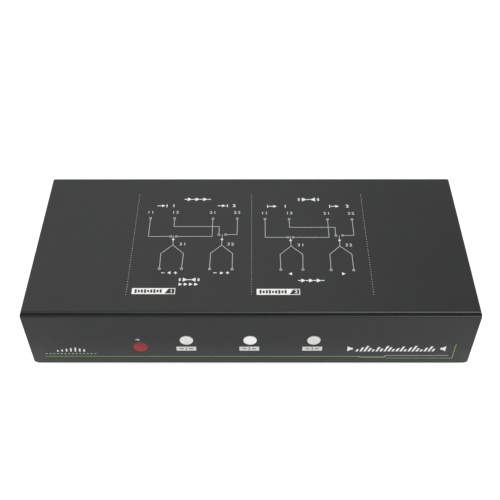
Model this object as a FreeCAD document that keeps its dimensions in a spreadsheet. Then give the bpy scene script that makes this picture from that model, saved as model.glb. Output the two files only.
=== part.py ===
import FreeCAD, Part
import os
import re
import Sketcher

# Speaker selector: a folded sheet-metal case with three push buttons and a
# receiver window in front, four relays inside and twelve binding posts behind.
# X runs left to right, Y from the front panel to the rear, Z up from the feet.

doc = FreeCAD.newDocument("SpeakerSelector")
sheet = doc.addObject("Spreadsheet::Sheet", "Sizes")

sizes = {
    # case
    "case_width": 240.0,
    "case_depth": 106.3,
    "case_height": 44.4,
    "sheet_thick": 1.2,
    "cover_thick": 1.2,
    "bend_radius": 2.0,
    "cover_bend": 1.6,
    "cover_set_back": 1.9,
    "ear_radius": 1.2,
    "lid_gap": 0.1,
    "side_gap": 0.2,
    "ear_gap": 0.3,
    "wall_lift": 0.4,
    "flange_depth": 9.0,
    "side_flange_height": 11.0,
    "side_flange_inset": 6.0,
    # screws: shared fit, then each kind
    "screw_gap": 0.05,
    "screw_dia": 3.0,
    "screw_head_dia": 5.6,
    "screw_head_height": 1.9,
    "screw_slot_width": 0.9,
    "screw_slot_depth": 0.9,
    "cover_screw_length": 7.0,
    "cover_screw_height": 6.5,
    "cover_screw_spread": 62.0,
    "board_screw_length": 6.0,
    "foot_screw_length": 7.0,
    # feet
    "foot_height": 3.5,
    "foot_top_dia": 15.0,
    "foot_low_dia": 13.0,
    "foot_recess_dia": 7.5,
    "foot_recess_depth": 2.2,
    "foot_side_inset": 18.0,
    "foot_end_inset": 15.0,
    # main board
    "board_thick": 1.6,
    "board_side_gap": 7.0,
    "board_front_gap": 24.0,
    "board_rear_gap": 3.0,
    "standoff_height": 6.0,
    "standoff_dia": 6.4,
    "standoff_side_inset": 7.0,
    "standoff_front_inset": 5.0,
    "standoff_rear_inset": 17.5,
    # front board
    "front_board_gap": 12.8,
    "front_board_window_margin": 16.1,
    "front_board_button_margin": 20.2,
    "front_board_low": 7.0,
    "front_board_high": 32.0,
    "front_spacer_dia": 6.0,
    "front_spacer_inset": 4.0,
    # buttons
    "button_middle": -0.4,
    "button_pitch": 34.2,
    "button_height": 22.25,
    "button_dia": 7.2,
    "button_edge": 0.3,
    "button_proud": 0.5,
    "button_travel": 0.4,
    "button_gap": 0.15,
    "button_flange_dia": 9.6,
    "button_flange_thick": 1.0,
    "button_flange_gap": 0.2,
    "button_stem_dia": 4.4,
    "stem_gap": 0.1,
    # guide moulding behind the buttons
    "guide_side": 9.0,
    "guide_half_height": 7.5,
    "guide_wall": 1.2,
    "guide_web_depth": 3.2,
    "guide_web_thick": 1.5,
    "guide_tube_dia": 7.0,
    "guide_tube_length": 2.0,
    # tact switches and button lamps
    "switch_side": 6.0,
    "switch_height": 3.5,
    "switch_leg_reach": 1.4,
    "switch_leg_width": 0.7,
    "switch_leg_thick": 0.3,
    "plunger_dia": 3.5,
    "plunger_proud": 1.5,
    "plunger_depth": 1.0,
    "plunger_gap": 0.1,
    "lamp_length": 1.6,
    "lamp_height": 0.8,
    "lamp_offset": 6.2,
    # receiver window and receiver
    "window_dia": 8.2,
    "window_x": -59.9,
    "window_height": 15.8,
    "window_gap": 0.05,
    "window_flange_dia": 10.0,
    "window_flange_thick": 1.0,
    "receiver_width": 6.0,
    "receiver_depth": 4.5,
    "receiver_height": 7.0,
    "receiver_dome_dia": 5.0,
    "receiver_leg_length": 3.0,
    "receiver_leg_width": 0.5,
    "receiver_leg_pitch": 2.54,
    # ribbon between the boards
    "ribbon_offset": 20.4,
    "ribbon_height": 24.0,
    "ribbon_width": 15.2,
    "ribbon_thick": 1.0,
    "ribbon_lead": 2.0,
    "ribbon_radius": 8.0,
    "socket_side": 1.15,
    "socket_height": 6.5,
    "socket_thick": 6.0,
    # relays
    "relay_side_inset": 42.0,
    "relay_pitch": 42.0,
    "relay_rear_gap": 30.0,
    "relay_length": 29.0,
    "relay_width": 13.0,
    "relay_height": 25.5,
    "relay_wall": 1.0,
    "relay_seat_gap": 0.1,
    "relay_base_thick": 3.0,
    "yoke_end_gap": 2.5,
    "yoke_right": 4.0,
    "yoke_half_width": 4.0,
    "yoke_thick": 1.5,
    "yoke_height": 18.5,
    "core_offset": 3.0,
    "core_dia": 4.0,
    "core_height": 17.8,
    "pole_dia": 7.0,
    "pole_thick": 0.8,
    "coil_dia": 9.4,
    "coil_gap": 0.1,
    "armature_gap": 0.1,
    "armature_thick": 1.2,
    "armature_reach": 2.0,
    "blade_side": 3.2,
    "blade_width": 2.4,
    "blade_thick": 0.3,
    "blade_overhang": 1.5,
    "contact_set_back": 2.9,
    "contact_dia": 2.2,
    "contact_height": 1.6,
    "contact_gap": 0.1,
    "contact_stroke": 1.3,
    "fixed_contact_height": 0.7,
    "strip_thick": 0.4,
    "strip_width": 1.2,
    "strip_end_gap": 1.1,
    "common_height": 12.0,
    "pin_length": 3.2,
    "pin_hole_dia": 1.5,
    "coil_pin_x": 6.5,
    "coil_pin_side": 4.5,
    "coil_pin_dia": 0.8,
    # binding posts
    "post_height": 17.0,
    "post_end_inset": 35.0,
    "post_pair_pitch": 15.0,
    "post_hole_dia": 8.0,
    "post_boss_gap": 0.1,
    "post_boss_depth": 1.0,
    "post_base_dia": 13.0,
    "post_base_thick": 4.0,
    "post_base_edge": 0.5,
    "post_bore_gap": 0.1,
    "washer_dia": 12.0,
    "washer_thick": 2.0,
    "nut_dia": 8.08,
    "nut_thick": 2.6,
    "tag_thick": 0.5,
    "tag_ring_dia": 8.0,
    "tag_strap_width": 2.8,
    "tag_tail": 1.2,
    "tag_hole_dia": 3.2,
    "stud_shank_dia": 4.0,
    "stud_shank_length": 11.0,
    "stud_flange_dia": 9.0,
    "stud_flange_thick": 1.0,
    "stud_barrel_dia": 6.0,
    "stud_barrel_length": 14.0,
    "stud_chamfer": 0.4,
    "socket_bore_dia": 4.0,
    "socket_bore_depth": 14.4,
    "wire_hole_dia": 2.6,
    "wire_hole_offset": 1.9,
    "cap_dia": 11.4,
    "cap_length": 15.5,
    "cap_seat_gap": 0.3,
    "cap_thread_gap": 0.05,
    "cap_end_wall": 1.4,
    "cap_end_hole_dia": 5.2,
    "cap_edge": 0.8,
    "cap_collar": 3.0,
    "flute_dia": 1.7,
    # power inlet
    "jack_side_inset": 12.0,
    "jack_width": 9.0,
    "jack_depth": 14.0,
    "jack_height": 11.0,
    "jack_axis_height": 6.0,
    "jack_panel_gap": 0.1,
    "jack_nose_dia": 8.0,
    "jack_nose_gap": 0.15,
    "jack_nose_proud": 0.6,
    "jack_bore_dia": 5.7,
    "jack_bore_depth": 9.5,
    "jack_pin_dia": 2.0,
    "jack_pin_set_back": 1.2,
    "jack_tab_width": 2.4,
    "jack_tab_thick": 0.5,
    "jack_tab_hole_dia": 3.0,
    # parts on the main board
    "chip_x": -12.0,
    "chip_front_gap": 40.0,
    "chip_length": 12.8,
    "chip_width": 7.5,
    "chip_height": 2.4,
    "driver_offset": 28.0,
    "driver_length": 19.3,
    "driver_width": 6.4,
    "driver_height": 3.6,
    "leg_reach": 1.2,
    "leg_pitch": 2.0,
    "leg_width": 0.6,
    "leg_height": 0.9,
    "capacitor_side_inset": 36.0,
    "capacitor_pitch": 11.0,
    "capacitor_front_gap": 38.0,
    "capacitor_dia": 8.0,
    "capacitor_height": 12.0,
    "capacitor_edge": 0.6,
    "regulator_x": -44.0,
    "regulator_front_gap": 38.0,
    "regulator_width": 10.0,
    "regulator_depth": 4.5,
    "regulator_body_height": 9.0,
    "regulator_lift": 3.0,
    "regulator_tab_height": 6.4,
    "regulator_tab_thick": 1.3,
    "regulator_hole_dia": 3.8,
    "regulator_leg_width": 0.8,
    "regulator_leg_pitch": 2.54,
}
flute_count = 14
chip_leg_pairs = 6

for row, (alias, number) in enumerate(sizes.items(), 1):
    sheet.set(f"A{row}", alias)
    sheet.set(f"B{row}", str(number))
    sheet.setAlias(f"B{row}", alias)
doc.recompute()

# Places worked out from the sizes
rear_reach = "(post_base_thick + stud_flange_thick + cap_seat_gap + cap_length)"
front = f"((button_proud - case_depth - {rear_reach}) / 2)"
rear = f"({front} + case_depth)"
panel_back = f"({front} + sheet_thick)"
rear_inside = f"({rear} - sheet_thick)"
underside = "foot_height"
floor_top = "(foot_height + sheet_thick)"
case_top = "(foot_height + case_height)"
tray_top = f"({case_top} - cover_thick - lid_gap)"
tray_width = "(case_width - 2 * cover_thick - 2 * side_gap)"
board_width = "(case_width - 2 * board_side_gap)"
board_low = f"({floor_top} + standoff_height)"
board_top = f"({board_low} + board_thick)"
board_front = f"({front} + board_front_gap)"
board_rear = f"({rear} - board_rear_gap)"
front_board_face = f"({panel_back} + front_board_gap)"
front_board_back = f"({front_board_face} + board_thick)"
button_z = f"({underside} + button_height)"
window_z = f"({underside} + window_height)"
post_z = f"({underside} + post_height)"
front_board_left = "(front_board_window_margin - window_x)"
front_board_right = "(button_middle + button_pitch + front_board_button_margin)"
ribbon_x = "(button_middle + ribbon_offset)"
relay_outer_x = "(case_width / 2 - relay_side_inset)"
relay_inner_x = f"({relay_outer_x} - relay_pitch)"
relay_room = "(relay_length / 2 - relay_wall)"
yoke_left = f"({relay_room} - yoke_end_gap)"
strip_end_x = f"({relay_room} - strip_end_gap)"
contact_x = f"({strip_end_x} - contact_set_back)"
jack_x = "(case_width / 2 - jack_side_inset)"
capacitor_x = "(case_width / 2 - capacitor_side_inset)"
driver_x = f"({capacitor_x} - driver_offset)"
post_group_count = 6
post_group_pitch = f"((case_width - 2 * post_end_inset) / {post_group_count - 1})"
plunger_face = "(sheet_thick + front_board_gap - switch_height - plunger_proud)"
tag_seat = "(sheet_thick + washer_thick + nut_thick)"
jack_z = f"({board_top} + jack_axis_height)"
screw_hole = "(screw_dia + 2 * screw_gap)"
along_y = FreeCAD.Rotation(FreeCAD.Vector(1, 0, 0), -90)
along_minus_y = FreeCAD.Rotation(FreeCAD.Vector(1, 0, 0), 90)
upright = FreeCAD.Rotation()

nodes = {}
places = {"x": "Placement.Base.x", "y": "Placement.Base.y", "z": "Placement.Base.z",
          "lift": "AttachmentOffset.Base.z"}


# Helpers

def tied(formula):
    """The formula with every size name pointed at the sheet."""
    return re.sub(r"\b[a-z]+(?:_[a-z]+)+\b", r"Sizes.\g<0>", formula)


def value(formula):
    return float(sheet.evalExpression(tied(formula)))


def bind(item, **formulas):
    for name, formula in formulas.items():
        item.setExpression(places.get(name, name), tied(formula))


def node(name, item):
    item.Label = name
    nodes[name] = item


def make(kind, name, **formulas):
    item = doc.addObject(kind, name)
    bind(item, **formulas)
    return item


def box(name, x, y, z, length, width, height):
    """A box whose x, y and z are its lowest corner."""
    return make("Part::Box", name, x=x, y=y, z=z, Length=length, Width=width, Height=height)


def cylinder(name, x, y, z, diameter, height, turn=upright):
    item = doc.addObject("Part::Cylinder", name)
    item.Placement = FreeCAD.Placement(FreeCAD.Vector(), turn)
    bind(item, x=x, y=y, z=z, Radius=f"({diameter}) / 2", Height=height)
    return item


def fuse(name, *items):
    item = doc.addObject("Part::MultiFuse", name)
    item.Shapes = list(items)
    item.Refine = True
    return item


def cut(name, base, *tools):
    tool = tools[0] if len(tools) == 1 else group(name + "Tools", tools)
    item = doc.addObject("Part::Cut", name)
    item.Base = base
    item.Tool = tool
    return item


def group(name, items):
    item = doc.addObject("Part::Compound", name)
    item.Links = list(items)
    return item


def copy_at(name, source, spot, turn=upright):
    link = doc.addObject("App::Link", name)
    link.LinkedObject = source
    link.Placement = FreeCAD.Placement(FreeCAD.Vector(), turn)
    x, y, z = spot
    bind(link, x=x, y=y, z=z)
    return link


def copies(name, source, spots, turn=upright):
    return group(name, [copy_at(name + "Copy", source, spot, turn) for spot in spots])


def body_of(name):
    return doc.addObject("PartDesign::Body", name)


def sketch_on(body, role, lift="0"):
    """An empty sketch on one of the body's own planes, lifted along its normal."""
    plane = next(item for item in body.Origin.OriginFeatures if item.Role == role)
    sketch = body.newObject("Sketcher::SketchObject", body.Name + "Sketch")
    sketch.AttachmentSupport = [(plane, "")]
    sketch.MapMode = "FlatFace"
    bind(sketch, lift=lift)
    return sketch


def hold(sketch, kind, geometry, point, formula):
    number = sketch.addConstraint(Sketcher.Constraint(kind, -1, 1, geometry, point, value(formula)))
    sketch.setExpression(f"Constraints[{number}]", tied(formula))


def outline(sketch, corners):
    """A closed outline through the corners, each a pair of formulas."""
    spots = [FreeCAD.Vector(value(across), value(up), 0) for across, up in corners]
    for spot, following in zip(spots, spots[1:] + spots[:1]):
        sketch.addGeometry(Part.LineSegment(spot, following), False)
    for index, (across, up) in enumerate(corners):
        following = (index + 1) % len(corners)
        sketch.addConstraint(Sketcher.Constraint("Coincident", index, 2, following, 1))
        hold(sketch, "DistanceX", index, 1, across)
        hold(sketch, "DistanceY", index, 1, up)


def circles(sketch, spots, diameter):
    """A circle at each spot; sketches on a body's faces hold nothing else."""
    for across, up in spots:
        middle = FreeCAD.Vector(value(across), value(up), 0)
        circle = Part.Circle(middle, FreeCAD.Vector(0, 0, 1), value(diameter) / 2)
        index = sketch.addGeometry(circle, False)
        hold(sketch, "DistanceX", index, 3, across)
        hold(sketch, "DistanceY", index, 3, up)
        number = sketch.addConstraint(Sketcher.Constraint("Diameter", index, value(diameter)))
        sketch.setExpression(f"Constraints[{number}]", tied(diameter))


def feature(kind, sketch, **formulas):
    body = sketch.getParentGeoFeatureGroup()
    item = body.newObject("PartDesign::" + kind, body.Name + kind)
    item.Profile = sketch
    bind(item, **formulas)
    doc.recompute()
    return item


def drill(body, role, lift, spots, diameter, depth, symmetric=False, back=False):
    """Round holes at the spots, checked to have taken something away."""
    before = body.Shape.Volume
    sketch = sketch_on(body, role, lift)
    circles(sketch, spots, diameter)
    pocket = feature("Pocket", sketch, Length=depth)
    pocket.SideType = "Symmetric" if symmetric else "One side"
    pocket.Reversed = back
    doc.recompute()
    if body.Shape.Volume > before - 1e-6:
        raise RuntimeError(f"{body.Name}: a drilled hole cut nothing")
    return pocket


def slab(body, kind, x, y, z, length, width, height):
    """An added or removed box inside a PartDesign body."""
    item = body.newObject(f"PartDesign::{kind}Box", body.Name + kind)
    bind(item, x=x, y=y, z=z, Length=length, Width=width, Height=height)
    doc.recompute()
    return item


def turned(name, corners):
    """A body of revolution about its own Z axis: corners are (radius, height)."""
    body = body_of(name)
    sketch = sketch_on(body, "XZ_Plane")
    outline(sketch, corners)
    spin = feature("Revolution", sketch)
    spin.ReferenceAxis = (sketch, ["V_Axis"])
    spin.Angle = 360
    doc.recompute()
    return body


def edges_along(shape, axis, spots):
    """Names of the edges that run along the axis and pass over one of the spots."""
    found = []
    across = [index for index in range(3) if index != axis]
    for number, edge in enumerate(shape.Edges, 1):
        ends = [vertex.Point for vertex in edge.Vertexes]
        if len(ends) != 2:
            continue
        if max(abs(ends[0][index] - ends[1][index]) for index in across) > 1e-4:
            continue
        for spot in spots:
            if max(abs(ends[0][index] - part) for index, part in zip(across, spot)) < 1e-4:
                found.append(f"Edge{number}")
    return found


def round_edges(body, axis, spots, radius):
    doc.recompute()
    base = body.Tip
    names = edges_along(base.Shape, axis, [tuple(map(value, spot)) for spot in spots])
    if not names:
        raise RuntimeError(f"{body.Name}: no edge to round")
    item = body.newObject("PartDesign::Fillet", body.Name + "Fillet")
    item.Base = (base, names)
    bind(item, Radius=radius)
    doc.recompute()
    return item


# Spots shared by holes and what goes in them

post_centres = [f"{index - (post_group_count - 1) / 2} * {post_group_pitch}"
                for index in range(post_group_count)]
black_posts = [f"({centre} - post_pair_pitch / 2)" for centre in post_centres]
red_posts = [f"({centre} + post_pair_pitch / 2)" for centre in post_centres]
all_posts = [x for pair in zip(black_posts, red_posts) for x in pair]
button_spots = {
    "left": "(button_middle - button_pitch)",
    "middle": "button_middle",
    "right": "(button_middle + button_pitch)",
}
relay_spots = [f"-{relay_outer_x}", f"-{relay_inner_x}", relay_inner_x, relay_outer_x]
relay_y = f"({rear} - relay_rear_gap)"
foot_spots = [
    (f"{side} * (case_width / 2 - foot_side_inset)", y)
    for side in (-1, 1)
    for y in (f"{front} + foot_end_inset", f"{rear} - foot_end_inset")
]
standoff_spots = [
    (f"{side} * ({board_width} / 2 - standoff_side_inset)", y)
    for side in (-1, 0, 1)
    for y in (f"{board_front} + standoff_front_inset", f"{board_rear} - standoff_rear_inset")
]
spacer_spots = [
    (x, z)
    for x in (f"(front_spacer_inset - {front_board_left})", f"({front_board_right} - front_spacer_inset)")
    for z in (f"({underside} + front_board_low + front_spacer_inset)",
              f"({underside} + front_board_high - front_spacer_inset)")
]
cover_screw_spots = [
    (f"({front} + case_depth / 2 + {side} * cover_screw_spread / 2)",
     f"({underside} + cover_screw_height)")
    for side in (-1, 1)
]
relay_pins = [
    (x, f"{side} * {y}")
    for x, y in ((contact_x, "blade_side"), (strip_end_x, "blade_side"),
                 (f"-{strip_end_x}", "blade_side"), ("coil_pin_x", "coil_pin_side"))
    for side in (-1, 1)
]


# Case

def build_tray():
    """Floor, front and rear folded from one sheet, with top and side flanges.

    The panels are as wide as the case; the rest is cut back to leave room for the cover's walls.
    """
    body = body_of("Tray")
    sketch = sketch_on(body, "YZ_Plane")
    outline(sketch, [
        (f"{front} + flange_depth", tray_top),
        (front, tray_top),
        (front, underside),
        (rear, underside),
        (rear, tray_top),
        (f"{rear} - flange_depth", tray_top),
        (f"{rear} - flange_depth", f"{tray_top} - sheet_thick"),
        (rear_inside, f"{tray_top} - sheet_thick"),
        (rear_inside, floor_top),
        (panel_back, floor_top),
        (panel_back, f"{tray_top} - sheet_thick"),
        (f"{front} + flange_depth", f"{tray_top} - sheet_thick"),
    ])
    fold = feature("Pad", sketch, Length="case_width")
    fold.SideType = "Symmetric"
    outer = [(y, z) for y in (front, rear) for z in (underside, tray_top)]
    inner = [(y, z) for y in (panel_back, rear_inside)
             for z in (floor_top, f"{tray_top} - sheet_thick")]
    round_edges(body, 0, outer, "bend_radius")
    round_edges(body, 0, inner, "bend_radius - sheet_thick")
    ear_depth = "(cover_set_back - ear_gap)"
    ear_low = f"({underside} + bend_radius)"
    wall_room = "(cover_thick + side_gap)"
    for x in ("-case_width / 2", f"{tray_width} / 2"):
        slab(body, "Subtractive", x, f"{front} + {ear_depth}", underside, wall_room,
             f"case_depth - 2 * {ear_depth}", "case_height")
        slab(body, "Subtractive", x, front, underside, wall_room, "case_depth", "bend_radius")
    round_edges(body, 1, [(x, ear_low) for x in ("-case_width / 2", "case_width / 2")], "ear_radius")
    side_flange = (f"{front} + side_flange_inset", underside, "sheet_thick",
                   "case_depth - 2 * side_flange_inset", "side_flange_height")
    for x in (f"-{tray_width} / 2", f"{tray_width} / 2 - sheet_thick"):
        y, z, length, width, height = side_flange
        slab(body, "Additive", x, y, z, length, width, height)
    drill(body, "XZ_Plane", f"-({front} + sheet_thick)", [(x, button_z) for x in button_spots.values()],
          "button_dia + 2 * button_gap", "2 * sheet_thick", symmetric=True)
    drill(body, "XZ_Plane", f"-({front} + sheet_thick)", [("window_x", window_z)],
          "window_dia + 2 * window_gap", "2 * sheet_thick", symmetric=True)
    drill(body, "XZ_Plane", f"-{rear}", [(x, post_z) for x in all_posts],
          "post_hole_dia", "4 * sheet_thick", symmetric=True)
    drill(body, "XZ_Plane", f"-{rear}", [(jack_x, jack_z)],
          "jack_nose_dia + 2 * jack_nose_gap", "4 * sheet_thick", symmetric=True)
    drill(body, "XY_Plane", floor_top, foot_spots, screw_hole, "3 * sheet_thick", symmetric=True)
    drill(body, "YZ_Plane", "0", cover_screw_spots, screw_hole, "case_width", symmetric=True)
    node("base_tray", body)


def build_cover():
    """Top and side walls folded from one sheet, set back from the front and rear panels."""
    body = body_of("Cover")
    wall_foot = f"({underside} + wall_lift)"
    sketch = sketch_on(body, "XZ_Plane", f"cover_set_back - {rear}")
    outline(sketch, [
        ("-case_width / 2", wall_foot),
        ("-case_width / 2", case_top),
        ("case_width / 2", case_top),
        ("case_width / 2", wall_foot),
        ("case_width / 2 - cover_thick", wall_foot),
        ("case_width / 2 - cover_thick", f"{case_top} - cover_thick"),
        ("cover_thick - case_width / 2", f"{case_top} - cover_thick"),
        ("cover_thick - case_width / 2", wall_foot),
    ])
    feature("Pad", sketch, Length="case_depth - 2 * cover_set_back")
    outer = [(x, case_top) for x in ("-case_width / 2", "case_width / 2")]
    inner = [(x, f"{case_top} - cover_thick")
             for x in ("cover_thick - case_width / 2", "case_width / 2 - cover_thick")]
    round_edges(body, 1, outer, "cover_bend")
    round_edges(body, 1, inner, "cover_bend - cover_thick")
    drill(body, "YZ_Plane", "0", cover_screw_spots, screw_hole, "2 * case_width", symmetric=True)
    node("top_cover", body)


def build_screw(name, length):
    """A pan-head screw along Z: the head's seat at 0, the shank above it, the slot below."""
    blank = turned(name, [
        ("0", "-screw_head_height"),
        ("screw_head_dia / 2 - screw_head_height / 3", "-screw_head_height"),
        ("screw_head_dia / 2", "-screw_head_height / 2"),
        ("screw_head_dia / 2", "0"),
        ("screw_dia / 2", "0"),
        ("screw_dia / 2", length),
        ("0", length),
    ])
    slab(blank, "Subtractive", "-screw_head_dia / 2", "-screw_slot_width / 2", "-screw_head_height",
         "screw_head_dia", "screw_slot_width", "screw_slot_depth")
    return blank


def build_case_screws():
    screw = build_screw("CoverScrew", "cover_screw_length")
    links = []
    for side, angle in (("-", 90), ("", -90)):
        turn = FreeCAD.Rotation(FreeCAD.Vector(0, 1, 0), angle)
        for y, z in cover_screw_spots:
            links.append(copy_at("CoverScrewCopy", screw, (side + "case_width / 2", y, z), turn))
    node("cover_screws", group("CoverScrews", links))


def build_feet():
    foot = turned("Foot", [
        ("foot_recess_dia / 2", "0"),
        ("foot_low_dia / 2", "0"),
        ("foot_top_dia / 2", "foot_height"),
        (f"{screw_hole} / 2", "foot_height"),
        (f"{screw_hole} / 2", "foot_recess_depth"),
        ("foot_recess_dia / 2", "foot_recess_depth"),
    ])
    screw = build_screw("FootScrew", "foot_screw_length")
    node("rubber_feet", copies("Feet", foot, [(x, y, "0") for x, y in foot_spots]))
    node("foot_screws", copies("FootScrews", screw, [(x, y, "foot_recess_depth") for x, y in foot_spots]))


# Boards

def build_standoff(name, diameter, height):
    """A hexagonal pillar with a screw bore right through."""
    pillar = doc.addObject("Part::Prism", name + "Hexagon")
    bind(pillar, Circumradius=f"({diameter}) / 2", Height=height)
    return cut(name, pillar, cylinder(name + "Bore", "0", "0", "0", screw_hole, height))


def build_main_board():
    body = body_of("MainBoard")
    slab(body, "Additive", f"-{board_width} / 2", board_front, board_low,
         board_width, f"{board_rear} - {board_front}", "board_thick")
    through = "3 * board_thick"
    drill(body, "XY_Plane", board_top, standoff_spots, screw_hole, through, symmetric=True)
    pins = [(f"{x} + {pin_x}", f"{relay_y} + {pin_y}") for x in relay_spots for pin_x, pin_y in relay_pins]
    drill(body, "XY_Plane", board_top, pins, "pin_hole_dia", through, symmetric=True)
    tag_y = f"{rear} - {tag_seat} - tag_thick / 2"
    drill(body, "XY_Plane", board_top, [(x, tag_y) for x in all_posts],
          "tag_hole_dia", through, symmetric=True)
    tab_y = f"{rear_inside} - jack_panel_gap - jack_depth + jack_tab_hole_dia / 2"
    drill(body, "XY_Plane", board_top, [(jack_x, tab_y)], "jack_tab_hole_dia", through, symmetric=True)
    node("main_board", body)
    standoff = build_standoff("Standoff", "standoff_dia", "standoff_height")
    screw = build_screw("BoardScrew", "board_screw_length")
    down = FreeCAD.Rotation(FreeCAD.Vector(1, 0, 0), 180)
    node("board_standoffs", copies("Standoffs", standoff, [(x, y, floor_top) for x, y in standoff_spots]))
    node("board_screws", copies("BoardScrews", screw, [(x, y, board_top) for x, y in standoff_spots], down))


def build_front_board():
    body = body_of("FrontBoard")
    slab(body, "Additive", f"-{front_board_left}", front_board_face, f"{underside} + front_board_low",
         f"{front_board_left} + {front_board_right}", "board_thick", "front_board_high - front_board_low")
    drill(body, "XZ_Plane", f"-{front_board_back}", spacer_spots, screw_hole,
          "3 * board_thick", symmetric=True)
    node("front_board", body)
    spacer = build_standoff("FrontSpacer", "front_spacer_dia", "front_board_gap")
    screw = build_screw("FrontScrew", "board_screw_length")
    node("front_board_spacers",
         copies("FrontSpacers", spacer, [(x, panel_back, z) for x, z in spacer_spots], along_y))
    node("front_board_screws",
         copies("FrontScrews", screw, [(x, front_board_back, z) for x, z in spacer_spots], along_minus_y))


# Front controls

def build_guide():
    """The moulding that guides the button stems and keeps each lamp's light to its own button."""
    body = body_of("Guide")
    left = "(button_middle - button_pitch - guide_side)"
    length = "(2 * button_pitch + 2 * guide_side)"
    low = f"({button_z} - guide_half_height)"
    slab(body, "Additive", left, panel_back, low, length, "front_board_gap", "2 * guide_half_height")
    inner_low = f"{low} + guide_wall"
    inner_height = "2 * guide_half_height - 2 * guide_wall"
    slab(body, "Subtractive", f"{left} + guide_wall", panel_back, inner_low,
         f"{length} - 2 * guide_wall", "guide_web_depth", inner_height)
    web_back = f"({panel_back} + guide_web_depth + guide_web_thick)"
    room_depth = "front_board_gap - guide_web_depth - guide_web_thick"
    edges = [f"({left} + guide_wall)", "(button_middle - button_pitch / 2)",
             "(button_middle + button_pitch / 2)", f"({left} + {length} - guide_wall)"]
    for index, (near, far) in enumerate(zip(edges, edges[1:])):
        start = near if index == 0 else f"({near} + guide_wall / 2)"
        finish = far if index == 2 else f"({far} - guide_wall / 2)"
        slab(body, "Subtractive", start, web_back, inner_low, f"{finish} - {start}", room_depth, inner_height)
    tubes = sketch_on(body, "XZ_Plane", f"-({web_back} + guide_tube_length)")
    stems = [(x, button_z) for x in button_spots.values()]
    circles(tubes, stems, "guide_tube_dia")
    pad = feature("Pad", tubes, Length="guide_tube_length + guide_web_thick")
    pad.Reversed = False
    drill(body, "XZ_Plane", f"-{web_back}", stems, "button_stem_dia + 2 * stem_gap",
          "4 * (guide_tube_length + guide_web_thick)", symmetric=True)
    node("button_guide", body)


def build_buttons():
    """Three caps and the switch plungers that they press, along +Y from the panel's face."""
    flange = "(sheet_thick + button_flange_gap)"
    cap = turned("ButtonCap", [
        ("0", "-button_proud"),
        ("button_dia / 2 - button_edge", "-button_proud"),
        ("button_dia / 2", "button_edge - button_proud"),
        ("button_dia / 2", flange),
        ("button_flange_dia / 2", flange),
        ("button_flange_dia / 2", f"{flange} + button_flange_thick"),
        ("button_stem_dia / 2", f"{flange} + button_flange_thick"),
        ("button_stem_dia / 2", plunger_face),
        ("0", plunger_face),
    ])
    plunger = turned("Plunger", [
        ("0", plunger_face),
        ("plunger_dia / 2", plunger_face),
        ("plunger_dia / 2", f"{plunger_face} + plunger_proud + plunger_depth"),
        ("0", f"{plunger_face} + plunger_proud + plunger_depth"),
    ])
    for name, x in button_spots.items():
        node(f"button_{name}", copy_at("Button", cap, (x, front, button_z), along_y))
        node(f"plunger_{name}", copy_at("SwitchPlunger", plunger, (x, front, button_z), along_y))


def build_switches():
    """Tact switch housings on the front board, each with a bore for its plunger."""
    half = "switch_side / 2"
    housing = box("SwitchHousing", f"-{half}", "-switch_height", f"-{half}",
                  "switch_side", "switch_height", "switch_side")
    legs = [
        box("SwitchLeg", x, "-switch_leg_thick", z, "switch_leg_reach + switch_side / 4",
            "switch_leg_thick", "switch_leg_width")
        for x in (f"-{half} - switch_leg_reach", "switch_side / 4")
        for z in ("-switch_side / 3 - switch_leg_width / 2", "switch_side / 3 - switch_leg_width / 2")
    ]
    bore = cylinder("SwitchBore", "0", "-switch_height", "0", "plunger_dia + 2 * plunger_gap",
                    "plunger_depth + button_travel + 3 * plunger_gap", along_y)
    switch = cut("Switch", fuse("SwitchBlank", housing, *legs), bore)
    node("tact_switches",
         copies("Switches", switch, [(x, front_board_face, button_z) for x in button_spots.values()]))
    lamp = group("Lamp", [box("LampBlock", "-lamp_length / 2", "-lamp_height", "-lamp_height / 2",
                              "lamp_length", "lamp_height", "lamp_height")])
    lamps = [(f"{x} + {side} * lamp_offset", front_board_face, button_z)
             for x in button_spots.values() for side in (-1, 1)]
    node("button_lamps", copies("Lamps", lamp, lamps))


def build_window():
    """The red window, let in flush from behind, and the receiver that looks out through it."""
    lens = turned("Lens", [
        ("0", "0"),
        ("window_dia / 2", "0"),
        ("window_dia / 2", "sheet_thick"),
        ("window_flange_dia / 2", "sheet_thick"),
        ("window_flange_dia / 2", "sheet_thick + window_flange_thick"),
        ("0", "sheet_thick + window_flange_thick"),
    ])
    node("ir_window", copy_at("Window", lens, ("window_x", front, window_z), along_y))
    face = f"({front_board_face} - receiver_leg_length - receiver_depth)"
    case = box("ReceiverCase", "window_x - receiver_width / 2", face, f"{window_z} - receiver_height / 2",
               "receiver_width", "receiver_depth", "receiver_height")
    dome = make("Part::Sphere", "ReceiverDome", x="window_x", y=f"{face}", z=window_z,
                Radius="receiver_dome_dia / 2")
    legs = [
        box("ReceiverLeg", f"window_x + {index} * receiver_leg_pitch - receiver_leg_width / 2",
            f"{face} + receiver_depth / 2", f"{window_z} - receiver_leg_width / 2",
            "receiver_leg_width", "receiver_depth / 2 + receiver_leg_length", "receiver_leg_width")
        for index in (-0.9, 0, 0.9)
    ]
    node("ir_receiver", fuse("Receiver", case, dome, *legs))


# Ribbon between the boards

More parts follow.
